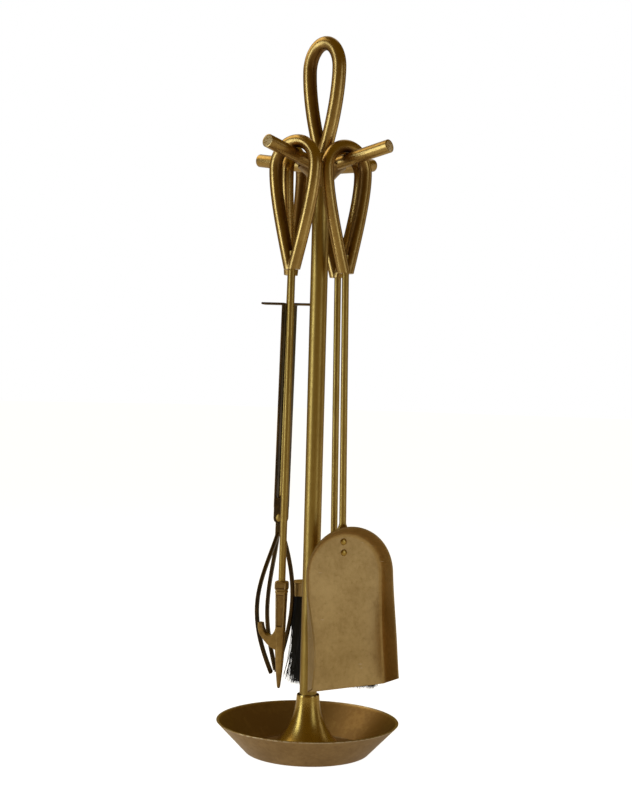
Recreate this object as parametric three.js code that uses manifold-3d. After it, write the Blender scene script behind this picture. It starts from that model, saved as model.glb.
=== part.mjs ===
// Fireplace tool set: a dish-shaped stand with a slim pole, four pegs and a carry loop,
// and a poker, a shovel, a brush and a pair of log tongs that hang from the pegs.
// Units are millimetres, +Z is up, and the origin is the centre of the pan's underside.
import * as THREE from 'three';
import { mergeVertices } from 'three/addons/utils/BufferGeometryUtils.js';
import Module from 'manifold-3d';

const wasm = await Module();
wasm.setup();

// ---- driving dimensions: stand ----
const SEAT_GAP = 0.3; // between pieces that rest on or sit in each other
const PAN_RIM_RADIUS = 100;
const PAN_BASE_RADIUS = 67;
const PAN_HEIGHT = 34;
const PAN_WALL = 2.4;
const PAN_EDGE_ROUND = 5;
const PAN_BOSS_RADIUS = 26; // raised middle of the floor, which leaves room for the bolt head
const PAN_BOSS_RISE = 7;
const FOOT_BASE_RADIUS = 41;
const FOOT_TOP_RADIUS = 12.4;
const FOOT_HEIGHT = 60;
const FOOT_WALL = 1.6;
const POLE_RADIUS = 9.5;
const POLE_WALL = 1.5;
const POLE_TOP = 619;
const PLUG_LENGTH = 26;
const BOLT_RADIUS = 4;
const BOLT_HEAD_RADIUS = 7;
const BOLT_HEAD_HEIGHT = 4.2;
const BOLT_LENGTH = 24;
const WASHER_RADIUS = 10;
const WASHER_THICKNESS = 1.4;
const THREAD_GAP = 0.3;
const HANG_GAP = 0.6; // between a peg and the loop that hangs on it
const HUB_RIM_RADIUS = 26.5;
const HUB_FLARE_HEIGHT = 20.5;
const HUB_RIM_THICKNESS = 2.5;
const HUB_CROWN_RADIUS = 11;
const HUB_CROWN_HEIGHT = 13;
const HUB_SPIGOT_LENGTH = 16;
const PEG_ABOVE_POLE = 21; // from the pole's top to where the four peg axes cross
const PEG_TILT = 10.1; // degrees above the horizontal
const PEG_RADIUS = 7.2;
const PEG_START = 9; // distance from the pole axis, along the peg
const PEG_END = 93;
const PEG_CHAMFER = 0.9;
const STUD_RADIUS = 4;
const STUD_IN_HUB = 10;
const STUD_IN_LOOP = 13;

// ---- driving dimensions: loops ----
// rodRadius is the bar's, halfWidth and crown are the top arch's two half axes at the bar's
// middle, length is from the top to the flat foot, and the last four shape the tapering sides
const CARRY_LOOP = {
  rodRadius: 7.7, halfWidth: 20.7, crown: 29, length: 129.5,
  footHalf: 2.2, shoulder: 29, taper: 9.8, taperRise: 28,
};
const TOOL_LOOP = {
  rodRadius: 7, halfWidth: 27, crown: 27, length: 145,
  footHalf: 2.2, shoulder: 28, taper: 11, taperRise: 38,
};
const LOOP_SIDES = 12;
const LOOP_STEPS = 24;
const LEG_STEPS = 4;
const ROD_SOCKET_DEPTH = 20;

// ---- driving dimensions: tools ----
const ROD_RADIUS = 3.8;
// direction of each peg, where the tool hangs along it, how far it leans out and how far
// its handle and its working end are swivelled about its own axis, all angles in degrees
const POKER = { peg: -90, reach: 45.3, lean: 0.5, handleSwivel: 1.8, headSwivel: 24 };
const SHOVEL = { peg: 0, reach: 34.2, lean: 1.1, handleSwivel: -12, headSwivel: -26.8 };
const TONGS = { peg: 180, reach: 38.5, lean: 1.05, handleSwivel: 23, headSwivel: -156 };
const BRUSH = { peg: 90, reach: 30.5, lean: 1.08, handleSwivel: 8, headSwivel: 24 };

const POKER_ROD_LENGTH = 334; // from the handle's foot to the top of the head
const POKER_HEAD_LENGTH = 115;
const POKER_COLLAR_HALF = 6.7;
const POKER_COLLAR_HEIGHT = 11;
const POKER_BODY_HALF = 5.2;
const POKER_HOOK_THICKNESS = 9.2;
const POKER_HOOK_BEVEL = 1;
const POKER_HOOK_HEIGHT = 44; // from the point to the underside of the hook
const POKER_POINT_RADIUS = 1.8;

const SHOVEL_ROD_LENGTH = 280; // from the handle's foot to the top of the pan's floor
const SHOVEL_FLOOR_LENGTH = 167;
const SHOVEL_ARCH_RADIUS = 44.5;
const SHOVEL_MOUTH_HALF = 46.5;
const SHOVEL_ROLL = 2.2; // degrees that the pan sits askew on its rod
const SHOVEL_SHEET = 1.5;
// How far the wall rises from the floor's back and flares out: at the top of the arch (-1), at
// the foot of the arch (0), two thirds of the way down the straight sides, and at the mouth (1).
const SHOVEL_WALL = [
  { along: -1, rise: 16.6, flare: 8 },
  { along: 0, rise: 16.6, flare: 6.8 },
  { along: 0.66, rise: 27.4, flare: 3.3 },
  { along: 1, rise: 24.5, flare: 4.8 },
];
const SHOVEL_CORNER_RAKE = 9;
const PADDLE_LENGTH = 34;
const PADDLE_WIDTH = 13;
const PADDLE_THICKNESS = 3;
const PADDLE_LEAD = 10.5; // how far the flattened end reaches above the floor's top
const RIVET_RADIUS = 2;
const RIVET_HEAD_RADIUS = 3.7;
const RIVET_HEAD_HEIGHT = 1.7;
const RIVET_FIRST_DROP = 9.5; // below the top of the floor
const RIVET_PITCH = 11.8;

const BRUSH_ROD_LENGTH = 341; // from the handle's foot to the top of the ferrule
const FERRULE_LENGTH = 97;
const FERRULE_THICKNESS = 26;
const FERRULE_HEIGHT = 16;
const FERRULE_WALL = 1.3;
const BRUSH_BLOCK_HEIGHT = 9;
const BRISTLE_LENGTH = 99; // below the ferrule
const BRISTLE_FLARE = 1.5;

const TONGS_ROD_LENGTH = 271; // from the handle's foot to the pivot
const TONGS_ARM_OFFSET = 6.2; // of the middle of each arm's strip, from the rod's axis
const TONGS_STRIP_WIDTH = 12.6;
const TONGS_STRIP_THICKNESS = 2.4;
const TONGS_ARM_ABOVE = 240; // from the pivot to the finger tab
const TONGS_TAB_LENGTH = 24;
const TONGS_EYE_HALF = 2.3;
const TONGS_EYE_RADIUS = 6.2;
const TONGS_EAR_GAP = 0.8;
const TONGS_EAR_RADIUS = 7.4;
const TONGS_STEM_LENGTH = 22; // below the pivot, before the tines part
const TONGS_EAR_HEIGHT = 22;
const TONGS_PIVOT_RADIUS = 2.2;
const TONGS_PIVOT_GAP = 0.3;
const TONGS_RIVET_HEAD_RADIUS = 4.4;
const TONGS_RIVET_HEAD_HEIGHT = 1.8;
const TONGS_CLAW_DROP = 173; // from the pivot to the tips
const TONGS_STEM_MIDDLE = 4.4; // of the stem and the tines' roots, from the rod's axis
const TONGS_FORK_BOW = 16.2;
const TONGS_FORK_LAG = 1.14; // above 1 the tines bow most below their middle
const TONGS_FORK_SPREAD = 21.8;
const TONGS_FORK_TIP_SPREAD = 8;
const TONGS_SINGLE_BOW = 15.4;
const TONGS_SINGLE_LAG = 0.93; // below 1 the tine bows most above its middle
const TONGS_TINE_WIDTH = 6;
const TONGS_TINE_THICKNESS = 4;

// ---- materials ----
function brass(color, roughness) {
  return new THREE.MeshStandardMaterial({ color, roughness, metalness: 1 });
}
const satinBrass = () => brass(0x8f7440, 0.38);
const castBrass = () => brass(0x836a38, 0.46);
const sheetBrass = () => brass(0x8a7142, 0.5);
const darkBrass = () => brass(0x5e4b2a, 0.45);
const zincSteel = () => new THREE.MeshStandardMaterial({ color: 0x9a9a96, roughness: 0.4, metalness: 1 });
const blackBristle = () => new THREE.MeshStandardMaterial({ color: 0x111110, roughness: 0.8, metalness: 0 });
const stainedWood = () => new THREE.MeshStandardMaterial({ color: 0x2c2119, roughness: 0.7, metalness: 0 });

// ---- solids ----
const radians = THREE.MathUtils.degToRad;

// One closed body from a three.js geometry: shared corners merged, slivers dropped, faces out.
function closedBody(geometry) {
  const bare = new THREE.BufferGeometry();
  bare.setAttribute('position', geometry.getAttribute('position').clone());
  if (geometry.index) bare.setIndex(geometry.index.clone());
  const merged = mergeVertices(bare, 1e-4);
  const position = merged.getAttribute('position');
  const corners = [];
  let volume = 0;
  const [a, b, c] = [new THREE.Vector3(), new THREE.Vector3(), new THREE.Vector3()];
  for (let i = 0; i < merged.index.count; i += 3) {
    const [ia, ib, ic] = [0, 1, 2].map((k) => merged.index.getX(i + k));
    if (ia === ib || ib === ic || ic === ia) continue;
    corners.push(ia, ib, ic);
    a.fromBufferAttribute(position, ia);
    b.fromBufferAttribute(position, ib);
    c.fromBufferAttribute(position, ic);
    volume += a.dot(b.cross(c));
  }
  if (volume < 0) corners.reverse();
  const triVerts = Uint32Array.from(corners);
  const vertProperties = Float32Array.from(position.array);
  return new wasm.Manifold(new wasm.Mesh({ numProp: 3, vertProperties, triVerts }));
}

function geometryOf(body) {
  const mesh = body.getMesh();
  const geometry = new THREE.BufferGeometry();
  geometry.setAttribute('position', new THREE.BufferAttribute(mesh.vertProperties, 3));
  geometry.setIndex(new THREE.BufferAttribute(mesh.triVerts, 1));
  geometry.computeVertexNormals();
  return geometry;
}

function piece(name, body, material) {
  const mesh = new THREE.Mesh(geometryOf(body), material);
  mesh.name = name;
  return mesh;
}

// A turned body about Z from [radius, height] pairs.
function turned(profile, sides) {
  const points = profile.map(([radius, height]) => new THREE.Vector2(radius, height));
  return closedBody(new THREE.LatheGeometry(points, sides).rotateX(Math.PI / 2));
}

function ringProfile(inner, outer, bottom, top) {
  return [[inner, bottom], [outer, bottom], [outer, top], [inner, top], [inner, bottom]];
}

// A round bar along Z between two heights.
function bar(radius, bottom, top, sides = 16) {
  const geometry = new THREE.CylinderGeometry(radius, radius, top - bottom, sides);
  return closedBody(geometry.rotateX(Math.PI / 2).translate(0, 0, (bottom + top) / 2));
}

// A block from its lowest corner to its highest corner.
function block(low, high) {
  const size = high.map((value, i) => value - low[i]);
  const middle = high.map((value, i) => (value + low[i]) / 2);
  return closedBody(new THREE.BoxGeometry(...size).translate(...middle));
}

// A plate cut to a shape in the Y-Z plane, between two places along X.
function plate(shape, start, end, bevel = 0, curveSegments = 10) {
  const geometry = new THREE.ExtrudeGeometry(shape, {
    depth: end - start - 2 * bevel,
    bevelEnabled: bevel > 0,
    bevelThickness: bevel,
    bevelSize: bevel,
    bevelOffset: -bevel,
    bevelSegments: 1,
    curveSegments,
  });
  geometry.translate(0, 0, start + bevel);
  geometry.applyMatrix4(new THREE.Matrix4().set(0, 0, 1, 0, 1, 0, 0, 0, 0, 1, 0, 0, 0, 0, 0, 1));
  return closedBody(geometry);
}

// A bar of a given section that follows a curve.
function swept(section, path, steps) {
  return closedBody(new THREE.ExtrudeGeometry(section, { extrudePath: path, steps, curveSegments: 1 }));
}

function polygon(radius, sides) {
  const corners = [];
  for (let i = 0; i < sides; i += 1) {
    const angle = (2 * Math.PI * (i + 0.5)) / sides;
    corners.push(new THREE.Vector2(radius * Math.cos(angle), radius * Math.sin(angle)));
  }
  return new THREE.Shape(corners);
}

function rectangle(width, height) {
  const [w, h] = [width / 2, height / 2];
  return new THREE.Shape([[-w, -h], [w, -h], [w, h], [-w, h]].map((p) => new THREE.Vector2(...p)));
}

function stadium(length, thickness) {
  const radius = thickness / 2;
  const reach = length / 2 - radius;
  const shape = new THREE.Shape();
  shape.absarc(reach, 0, radius, -Math.PI / 2, Math.PI / 2);
  shape.absarc(-reach, 0, radius, Math.PI / 2, (3 * Math.PI) / 2);
  return shape;
}

// An upright block with a stadium outline, long along Y.
function stadiumBlock(length, thickness, bottom, top) {
  const geometry = new THREE.ExtrudeGeometry(stadium(length, thickness), {
    depth: top - bottom,
    bevelEnabled: false,
    curveSegments: 8,
  });
  return closedBody(geometry.rotateZ(Math.PI / 2).translate(0, 0, bottom));
}

// A body between two rings with the same number of corners, given as points.
function ringLoft(startRing, endRing) {
  const count = startRing.length;
  const caps = THREE.ShapeUtils.triangulateShape(startRing.map(([, y, z]) => new THREE.Vector2(y, z)), []);
  const index = [];
  caps.forEach(([a, b, c]) => index.push(a, c, b, a + count, b + count, c + count));
  for (let i = 0; i < count; i += 1) {
    const next = (i + 1) % count;
    index.push(i, next, next + count, i, next + count, i + count);
  }
  const geometry = new THREE.BufferGeometry();
  const position = [...startRing, ...endRing].flat();
  geometry.setAttribute('position', new THREE.Float32BufferAttribute(position, 3));
  geometry.setIndex(index);
  return closedBody(geometry);
}

// ---- stand ----
function basePan() {
  const slope = (PAN_RIM_RADIUS - PAN_BASE_RADIUS - PAN_EDGE_ROUND) / (PAN_HEIGHT - PAN_EDGE_ROUND);
  const inset = PAN_WALL * Math.hypot(1, slope);
  const floorRise = PAN_WALL + PAN_EDGE_ROUND * 0.2;
  const floorEdge = PAN_BASE_RADIUS + floorRise * slope - inset + PAN_EDGE_ROUND * 0.4;
  const profile = [
    [BOLT_RADIUS + THREAD_GAP, PAN_BOSS_RISE],
    [PAN_BOSS_RADIUS, PAN_BOSS_RISE],
    [PAN_BOSS_RADIUS + PAN_BOSS_RISE / 2, 0],
    [PAN_BASE_RADIUS, 0],
    [PAN_BASE_RADIUS + PAN_EDGE_ROUND * 0.55, PAN_EDGE_ROUND * 0.2],
    [PAN_BASE_RADIUS + PAN_EDGE_ROUND, PAN_EDGE_ROUND],
    [PAN_RIM_RADIUS, PAN_HEIGHT],
    [PAN_RIM_RADIUS - PAN_WALL, PAN_HEIGHT],
    [floorEdge, PAN_WALL],
    [PAN_BOSS_RADIUS + PAN_BOSS_RISE / 2 + PAN_WALL, PAN_WALL],
    [PAN_BOSS_RADIUS + PAN_WALL, PAN_BOSS_RISE + PAN_WALL],
    [BOLT_RADIUS + THREAD_GAP, PAN_BOSS_RISE + PAN_WALL],
    [BOLT_RADIUS + THREAD_GAP, PAN_BOSS_RISE],
  ];
  return piece('base_pan', turned(profile, 56), sheetBrass());
}

// The foot narrows from its base to its open top along a hollow curve.
function footRadius(share) {
  const fall = FOOT_BASE_RADIUS - FOOT_TOP_RADIUS;
  return FOOT_TOP_RADIUS + fall * (0.16 * (1 - share) + 0.84 * (1 - share) ** 2.6);
}

function poleFoot() {
  const bottom = PAN_WALL + SEAT_GAP;
  const heights = [0, 0.07, 0.15, 0.25, 0.39, 0.6, 1];
  const outer = heights.map((share) => [footRadius(share), bottom + share * FOOT_HEIGHT]);
  const inner = heights.map((share) => {
    const lift = share === 0 ? 0 : FOOT_WALL * 0.4;
    return [footRadius(share) - FOOT_WALL, bottom + share * FOOT_HEIGHT - (share === 1 ? 0 : lift)];
  });
  return piece('pole_foot', turned([...outer, ...inner.reverse(), outer[0]], 36), satinBrass());
}

function pole() {
  const bottom = PAN_BOSS_RISE + PAN_WALL + SEAT_GAP;
  const profile = ringProfile(POLE_RADIUS - POLE_WALL, POLE_RADIUS, bottom, POLE_TOP);
  return piece('pole', turned(profile, 28), satinBrass());
}

function polePlug() {
  const bottom = PAN_BOSS_RISE + PAN_WALL + SEAT_GAP;
  const outer = POLE_RADIUS - POLE_WALL - SEAT_GAP;
  const profile = ringProfile(BOLT_RADIUS + THREAD_GAP, outer, bottom, bottom + PLUG_LENGTH);
  return piece('pole_plug', turned(profile, 20), zincSteel());
}

function baseWasher() {
  const top = PAN_BOSS_RISE - SEAT_GAP;
  const profile = ringProfile(BOLT_RADIUS + THREAD_GAP, WASHER_RADIUS, top - WASHER_THICKNESS, top);
  return piece('base_washer', turned(profile, 20), zincSteel());
}

function baseBolt() {
  const headTop = PAN_BOSS_RISE - WASHER_THICKNESS - 2 * SEAT_GAP;
  const headBottom = headTop - BOLT_HEAD_HEIGHT;
  const profile = [
    [0, headBottom],
    [BOLT_HEAD_RADIUS * 0.7, headBottom],
    [BOLT_HEAD_RADIUS, headBottom + BOLT_HEAD_HEIGHT * 0.45],
    [BOLT_HEAD_RADIUS, headTop],
    [BOLT_RADIUS, headTop],
    [BOLT_RADIUS, headTop + BOLT_LENGTH],
    [0, headTop + BOLT_LENGTH],
  ];
  return piece('base_bolt', turned(profile, 20), zincSteel());
}

const pegCentreHeight = POLE_TOP + PEG_ABOVE_POLE;

function pegPlacement(body, heading) {
  return body
    .rotate([0, 90 - PEG_TILT, 0])
    .rotate([0, 0, heading])
    .translate([0, 0, pegCentreHeight]);
}

const hubBottom = POLE_TOP + SEAT_GAP;
const hubRimTop = hubBottom + HUB_FLARE_HEIGHT + HUB_RIM_THICKNESS;
const hubTop = hubRimTop + HUB_CROWN_HEIGHT;

function pegHub() {
  const spigot = POLE_RADIUS - POLE_WALL - SEAT_GAP;
  const neck = POLE_RADIUS + 0.4;
  const flare = [0, 0.25, 0.5, 0.75, 1].map((share) => [
    neck + (HUB_RIM_RADIUS - neck) * share ** 1.55,
    hubBottom + HUB_FLARE_HEIGHT * share,
  ]);
  const profile = [
    [0, hubBottom - HUB_SPIGOT_LENGTH],
    [spigot, hubBottom - HUB_SPIGOT_LENGTH],
    [spigot, hubBottom],
    ...flare,
    [HUB_RIM_RADIUS, hubRimTop],
    [HUB_RIM_RADIUS * 0.7, hubRimTop + HUB_CROWN_HEIGHT * 0.45],
    [HUB_CROWN_RADIUS, hubTop - 3],
    [HUB_CROWN_RADIUS, hubTop],
    [0, hubTop],
  ];
  let body = turned(profile, 30);
  for (const tool of [POKER, SHOVEL, TONGS, BRUSH]) {
    const bore = bar(PEG_RADIUS + SEAT_GAP, PEG_START - SEAT_GAP, PEG_END, 20);
    body = body.subtract(pegPlacement(bore, tool.peg));
  }
  body = body.subtract(bar(STUD_RADIUS + THREAD_GAP, hubTop - STUD_IN_HUB - THREAD_GAP, hubTop + 1));
  return piece('peg_hub', body, castBrass());
}

function peg(name, tool) {
  const profile = [
    [0, PEG_START],
    [PEG_RADIUS, PEG_START],
    [PEG_RADIUS, PEG_END - PEG_CHAMFER],
    [PEG_RADIUS - PEG_CHAMFER, PEG_END],
    [0, PEG_END],
  ];
  return piece(name, pegPlacement(turned(profile, 20), tool.peg), satinBrass());
}

// ---- teardrop loops ----
// One side of a teardrop, from the foot up to the top, as the middle line of its bar.
// The top of the bar's inner side is at z = 0, and the loop lies in the Y-Z plane.
function legPoint(loop, share) {
  const top = loop.rodRadius;
  const arcEnd = 0.34;
  if (share < arcEnd) {
    const angle = (Math.PI / 2) * (share / arcEnd);
    const y = loop.halfWidth * Math.sin(angle);
    return [y, top - loop.crown * (1 - Math.cos(angle))];
  }
  const t = (share - arcEnd) / (1 - arcEnd);
  const side = top - loop.crown;
  const foot = 2 * loop.rodRadius - loop.length;
  const weights = [(1 - t) ** 3, 3 * t * (1 - t) ** 2, 3 * t * t * (1 - t), t ** 3];
  const ys = [loop.halfWidth, loop.halfWidth, loop.footHalf + loop.taper, loop.footHalf];
  const zs = [side, side - loop.shoulder, foot + loop.taperRise, foot];
  const sum = (values) => values.reduce((total, value, i) => total + value * weights[i], 0);
  return [sum(ys), sum(zs)];
}

class TeardropCurve extends THREE.Curve {
  constructor(loop, from, to) {
    super();
    Object.assign(this, { loop, from, to });
  }

  getPoint(t, target = new THREE.Vector3()) {
    const share = this.from + (this.to - this.from) * t;
    const [y, z] = legPoint(this.loop, Math.abs(share));
    return target.set(0, share < 0 ? -y : y, z);
  }
}

// The share of the leg at which the two sides of the bar come together.
function shareWhereLegsMeet(loop) {
  let share = 1;
  while (legPoint(loop, share)[0] < loop.rodRadius + 0.6) share -= 0.005;
  return share;
}

function teardrop(loop, socketRadius, socketDepth) {
  const meet = shareWhereLegsMeet(loop);
  const ring = swept(polygon(loop.rodRadius, LOOP_SIDES), new TeardropCurve(loop, -meet, meet), LOOP_STEPS);
  const section = polygon(loop.rodRadius * 0.985, LOOP_SIDES);
  const foot = 2 * loop.rodRadius - loop.length;
  let body = ring;
  for (const side of [-1, 1]) {
    const leg = new TeardropCurve(loop, side * (meet - 0.02), side * 1);
    body = body.add(swept(section, leg, LEG_STEPS));
  }
  const reach = loop.halfWidth + 2 * loop.rodRadius;
  body = body.intersect(block([-reach, -reach, foot], [reach, reach, 3 * loop.rodRadius]));
  return body.subtract(bar(socketRadius, foot - 1, foot + socketDepth));
}

function carryLoop() {
  const body = teardrop(CARRY_LOOP, STUD_RADIUS + THREAD_GAP, STUD_IN_LOOP + THREAD_GAP);
  const foot = 2 * CARRY_LOOP.rodRadius - CARRY_LOOP.length;
  const mesh = piece('carry_loop', body, castBrass());
  mesh.rotation.z = Math.PI / 2;
  mesh.position.z = hubTop + SEAT_GAP - foot;
  return mesh;
}

function carryLoopStud() {
  const body = bar(STUD_RADIUS, hubTop - STUD_IN_HUB, hubTop + SEAT_GAP + STUD_IN_LOOP);
  return piece('carry_loop_stud', body, zincSteel());
}

// ---- hanging tools ----
const handleFoot = 2 * TOOL_LOOP.rodRadius - TOOL_LOOP.length;

function handle(name) {
  return piece(name, teardrop(TOOL_LOOP, ROD_RADIUS + SEAT_GAP, ROD_SOCKET_DEPTH), castBrass());
}

// A tool hangs with the inside of its loop on top of its peg.
function hungTool(tool, handleMesh, headMeshes) {
  const tilt = radians(PEG_TILT);
  const handleTurn = new THREE.Group();
  handleTurn.rotation.z = radians(tool.handleSwivel);
  handleTurn.add(handleMesh);
  const headTurn = new THREE.Group();
  headTurn.rotation.z = radians(tool.headSwivel);
  headTurn.add(...headMeshes);
  const hanging = new THREE.Group();
  const pegTop = (PEG_RADIUS + TOOL_LOOP.rodRadius) / Math.cos(tilt) - TOOL_LOOP.rodRadius + HANG_GAP;
  hanging.position.set(tool.reach, 0, pegCentreHeight + tool.reach * Math.tan(tilt) + pegTop);
  hanging.rotation.y = -radians(tool.lean);
  hanging.add(handleTurn, headTurn);
  const heading = new THREE.Group();
  heading.rotation.z = radians(tool.peg);
  heading.add(hanging);
  return heading;
}

function toolRod(name, bottom) {
  const top = handleFoot + ROD_SOCKET_DEPTH - SEAT_GAP;
  return piece(name, bar(ROD_RADIUS, bottom, top), satinBrass());
}

// ---- poker ----
// Side outline of the poker's hook, which curls up beside the body.
function hookOutline() {
  const root = POKER_HOOK_HEIGHT;
  const shape = new THREE.Shape();
  shape.moveTo(0, root + 22);
  shape.lineTo(0, root - 3);
  shape.lineTo(-POKER_BODY_HALF + 1, root - 3);
  shape.quadraticCurveTo(-12.5, root, -20.5, root + 11);
  shape.quadraticCurveTo(-25.2, root + 17, -24.2, root + 26);
  shape.lineTo(-19.6, root + 25.4);
  shape.quadraticCurveTo(-17.6, root + 12.5, -11.5, root + 12.5);
  shape.quadraticCurveTo(-6.5, root + 12.5, -POKER_BODY_HALF + 1, root + 22);
  return shape;
}

// A square bar along Z through [half width, height] pairs.
function squareBar(rings) {
  const corners = rings.map(([half, height]) => [half * Math.SQRT2, height]);
  const bottom = rings[0][1];
  const top = rings[rings.length - 1][1];
  return turned([[0, bottom], ...corners, [0, top]], 4).rotate([0, 0, 45]);
}

function pokerHead() {
  const half = POKER_BODY_HALF;
  const root = POKER_HOOK_HEIGHT;
  const collarBottom = POKER_HEAD_LENGTH - POKER_COLLAR_HEIGHT;
  let body = squareBar([[half * 0.6, root - 6], [half * 0.9, root + 6], [half * 1.09, collarBottom + 1]]);
  const side = POKER_HOOK_THICKNESS / 2;
  body = body.add(plate(hookOutline(), -side, side, POKER_HOOK_BEVEL, 5));
  const point = [
    [0, 0],
    [POKER_POINT_RADIUS, 0.6],
    [half * 0.65, root * 0.36],
    [half * 0.96, root - 4],
    [0, root + 2],
  ];
  body = body.add(turned(point, 12));
  const collar = [
    [POKER_COLLAR_HALF * 0.9, collarBottom],
    [POKER_COLLAR_HALF, collarBottom + 1.5],
    [POKER_COLLAR_HALF, POKER_HEAD_LENGTH - 1.5],
    [POKER_COLLAR_HALF * 0.88, POKER_HEAD_LENGTH],
  ];
  body = body.add(squareBar(collar));
  const socketBottom = POKER_HEAD_LENGTH - ROD_SOCKET_DEPTH;
  body = body.subtract(bar(ROD_RADIUS + SEAT_GAP, socketBottom, POKER_HEAD_LENGTH + 1));
  const mesh = piece('poker_head', body, castBrass());
  mesh.position.z = handleFoot - POKER_ROD_LENGTH - POKER_HEAD_LENGTH;
  return mesh;
}

function poker() {
  const rodBottom = handleFoot - POKER_ROD_LENGTH - ROD_SOCKET_DEPTH + SEAT_GAP;
  return hungTool(POKER, handle('poker_handle'), [toolRod('poker_rod', rodBottom), pokerHead()]);
}

// ---- shovel ----
const floorTop = handleFoot - SHOVEL_ROD_LENGTH;
const floorBack = PADDLE_THICKNESS / 2 + SEAT_GAP; // back of the floor, forward of the rod's axis

// Corners of the pan's outline, each with its way outwards and its place along the wall, which
// is -1 at the top of the arch, 0 where the straight sides start and 1 at the mouth.
function panOutline() {
  const corners = [];
  const arcSteps = 20;
  const archCentre = floorTop - SHOVEL_ARCH_RADIUS;
  for (let i = 0; i <= arcSteps; i += 1) {
    const angle = (Math.PI * i) / arcSteps;
    const [y, z] = [Math.cos(angle), Math.sin(angle)];
    const place = [SHOVEL_ARCH_RADIUS * y, archCentre + SHOVEL_ARCH_RADIUS * z];
    corners.push({ place, out: [y, z], along: -z });
  }
  const run = SHOVEL_FLOOR_LENGTH - SHOVEL_ARCH_RADIUS;
  const sideSteps = 8;
  const side = [];
  for (let i = 1; i <= sideSteps; i += 1) {
    const along = i / sideSteps;
    const half = SHOVEL_ARCH_RADIUS + (SHOVEL_MOUTH_HALF - SHOVEL_ARCH_RADIUS) * along ** 2;
    side.push([half, archCentre - run * along, along]);
  }
  side.forEach(([y, z, along]) => corners.push({ place: [-y, z], out: [-1, 0], along }));
  side.reverse().forEach(([y, z, along]) => corners.push({ place: [y, z], out: [1, 0], along }));
  return corners;
}

// Rise and flare of the wall at a place along it, eased between the stated ones.
function wallAt(along) {
  const next = Math.max(1, SHOVEL_WALL.findIndex((stated) => stated.along >= along - 1e-9));
  const [from, to] = [SHOVEL_WALL[next - 1], SHOVEL_WALL[next]];
  const share = THREE.MathUtils.smoothstep(along, from.along, to.along);
  const between = (key) => THREE.MathUtils.lerp(from[key], to[key], share);
  return { rise: between('rise'), flare: between('flare') };
}

// A ring of the pan's surface: the wall's slope followed to a share of its rise, set in from
// the sheet's outside by a depth measured through the sheet, and carried on past the mouth.
function panRing(share, depth, pastMouth) {
  return panOutline().map(({ place, out, along }) => {
    const { rise, flare } = wallAt(along);
    const margin = flare * share - depth * Math.hypot(1, flare / rise);
    const drop = along === 1 ? pastMouth : 0;
    return [floorBack + rise * share, place[0] + out[0] * margin, place[1] + out[1] * margin - drop];
  });
}

const rivetMiddle = floorTop - RIVET_FIRST_DROP - RIVET_PITCH / 2;

function shovelPan() {
  const front = floorBack + SHOVEL_SHEET;
  const outer = ringLoft(panRing(0, 0, 5), panRing(1, 0, 5));
  const floorRing = panRing(0, SHOVEL_SHEET, 9).map(([, y, z]) => [front, y, z]);
  const hollow = ringLoft(floorRing, panRing(1.06, SHOVEL_SHEET, 9));
  let body = outer.subtract(hollow);
  const mouth = floorTop - SHOVEL_FLOOR_LENGTH;
  const far = SHOVEL_MOUTH_HALF + 20;
  const low = mouth - 40;
  const rim = floorBack + Math.max(...SHOVEL_WALL.map((stated) => stated.rise));
  const underCut = (x, height) => [[x, -far, low], [x, far, low], [x, far, height], [x, -far, height]];
  const rake = ringLoft(underCut(front - 3, mouth + 0.8), underCut(rim + 5, mouth + SHOVEL_CORNER_RAKE));
  body = body.subtract(rake).subtract(block([-1, -far, low], [rim + 5, far, mouth]));
  body = body.translate([0, 0, -rivetMiddle]).rotate([SHOVEL_ROLL, 0, 0]).translate([0, 0, rivetMiddle]);
  for (const place of rivetPlaces()) {
    body = body.subtract(crossBar(RIVET_RADIUS + SEAT_GAP, -5, 10, place));
  }
  return piece('shovel_pan', body, sheetBrass());
}

// Places of the rivets across and up the pan, in line with its middle.
function rivetPlaces() {
  const roll = radians(SHOVEL_ROLL);
  return [1, -1].map((side) => {
    const along = (side * RIVET_PITCH) / 2;
    return [-along * Math.sin(roll), rivetMiddle + along * Math.cos(roll)];
  });
}

// A round bar along X at a place in the Y-Z plane.
function crossBar(radius, start, end, [y, z]) {
  return bar(radius, start, end, 14).rotate([0, 90, 0]).translate([0, y, z]);
}

function shovelRod() {
  const top = handleFoot + ROD_SOCKET_DEPTH - SEAT_GAP;
  const paddleTop = floorTop + PADDLE_LEAD;
  const half = PADDLE_THICKNESS / 2;
  let body = bar(ROD_RADIUS, paddleTop - 2, top);
  const neck = new THREE.CylinderGeometry(ROD_RADIUS, half, 8, 16).rotateX(Math.PI / 2);
  body = body.add(closedBody(neck.translate(0, 0, paddleTop - 5.9)));
  const edge = PADDLE_WIDTH / 2;
  const tail = floorTop - PADDLE_LENGTH;
  const paddle = new THREE.Shape();
  paddle.moveTo(-ROD_RADIUS * 0.8, paddleTop);
  paddle.lineTo(-edge, paddleTop - 8);
  paddle.lineTo(-edge, tail + 4);
  paddle.quadraticCurveTo(-edge, tail, 0, tail);
  paddle.quadraticCurveTo(edge, tail, edge, tail + 4);
  paddle.lineTo(edge, paddleTop - 8);
  paddle.lineTo(ROD_RADIUS * 0.8, paddleTop);
  body = body.add(plate(paddle, -half, half, 0, 4));
  for (const place of rivetPlaces()) {
    body = body.subtract(crossBar(RIVET_RADIUS + SEAT_GAP, -5, 5, place));
  }
  return piece('shovel_rod', body, satinBrass());
}

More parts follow.
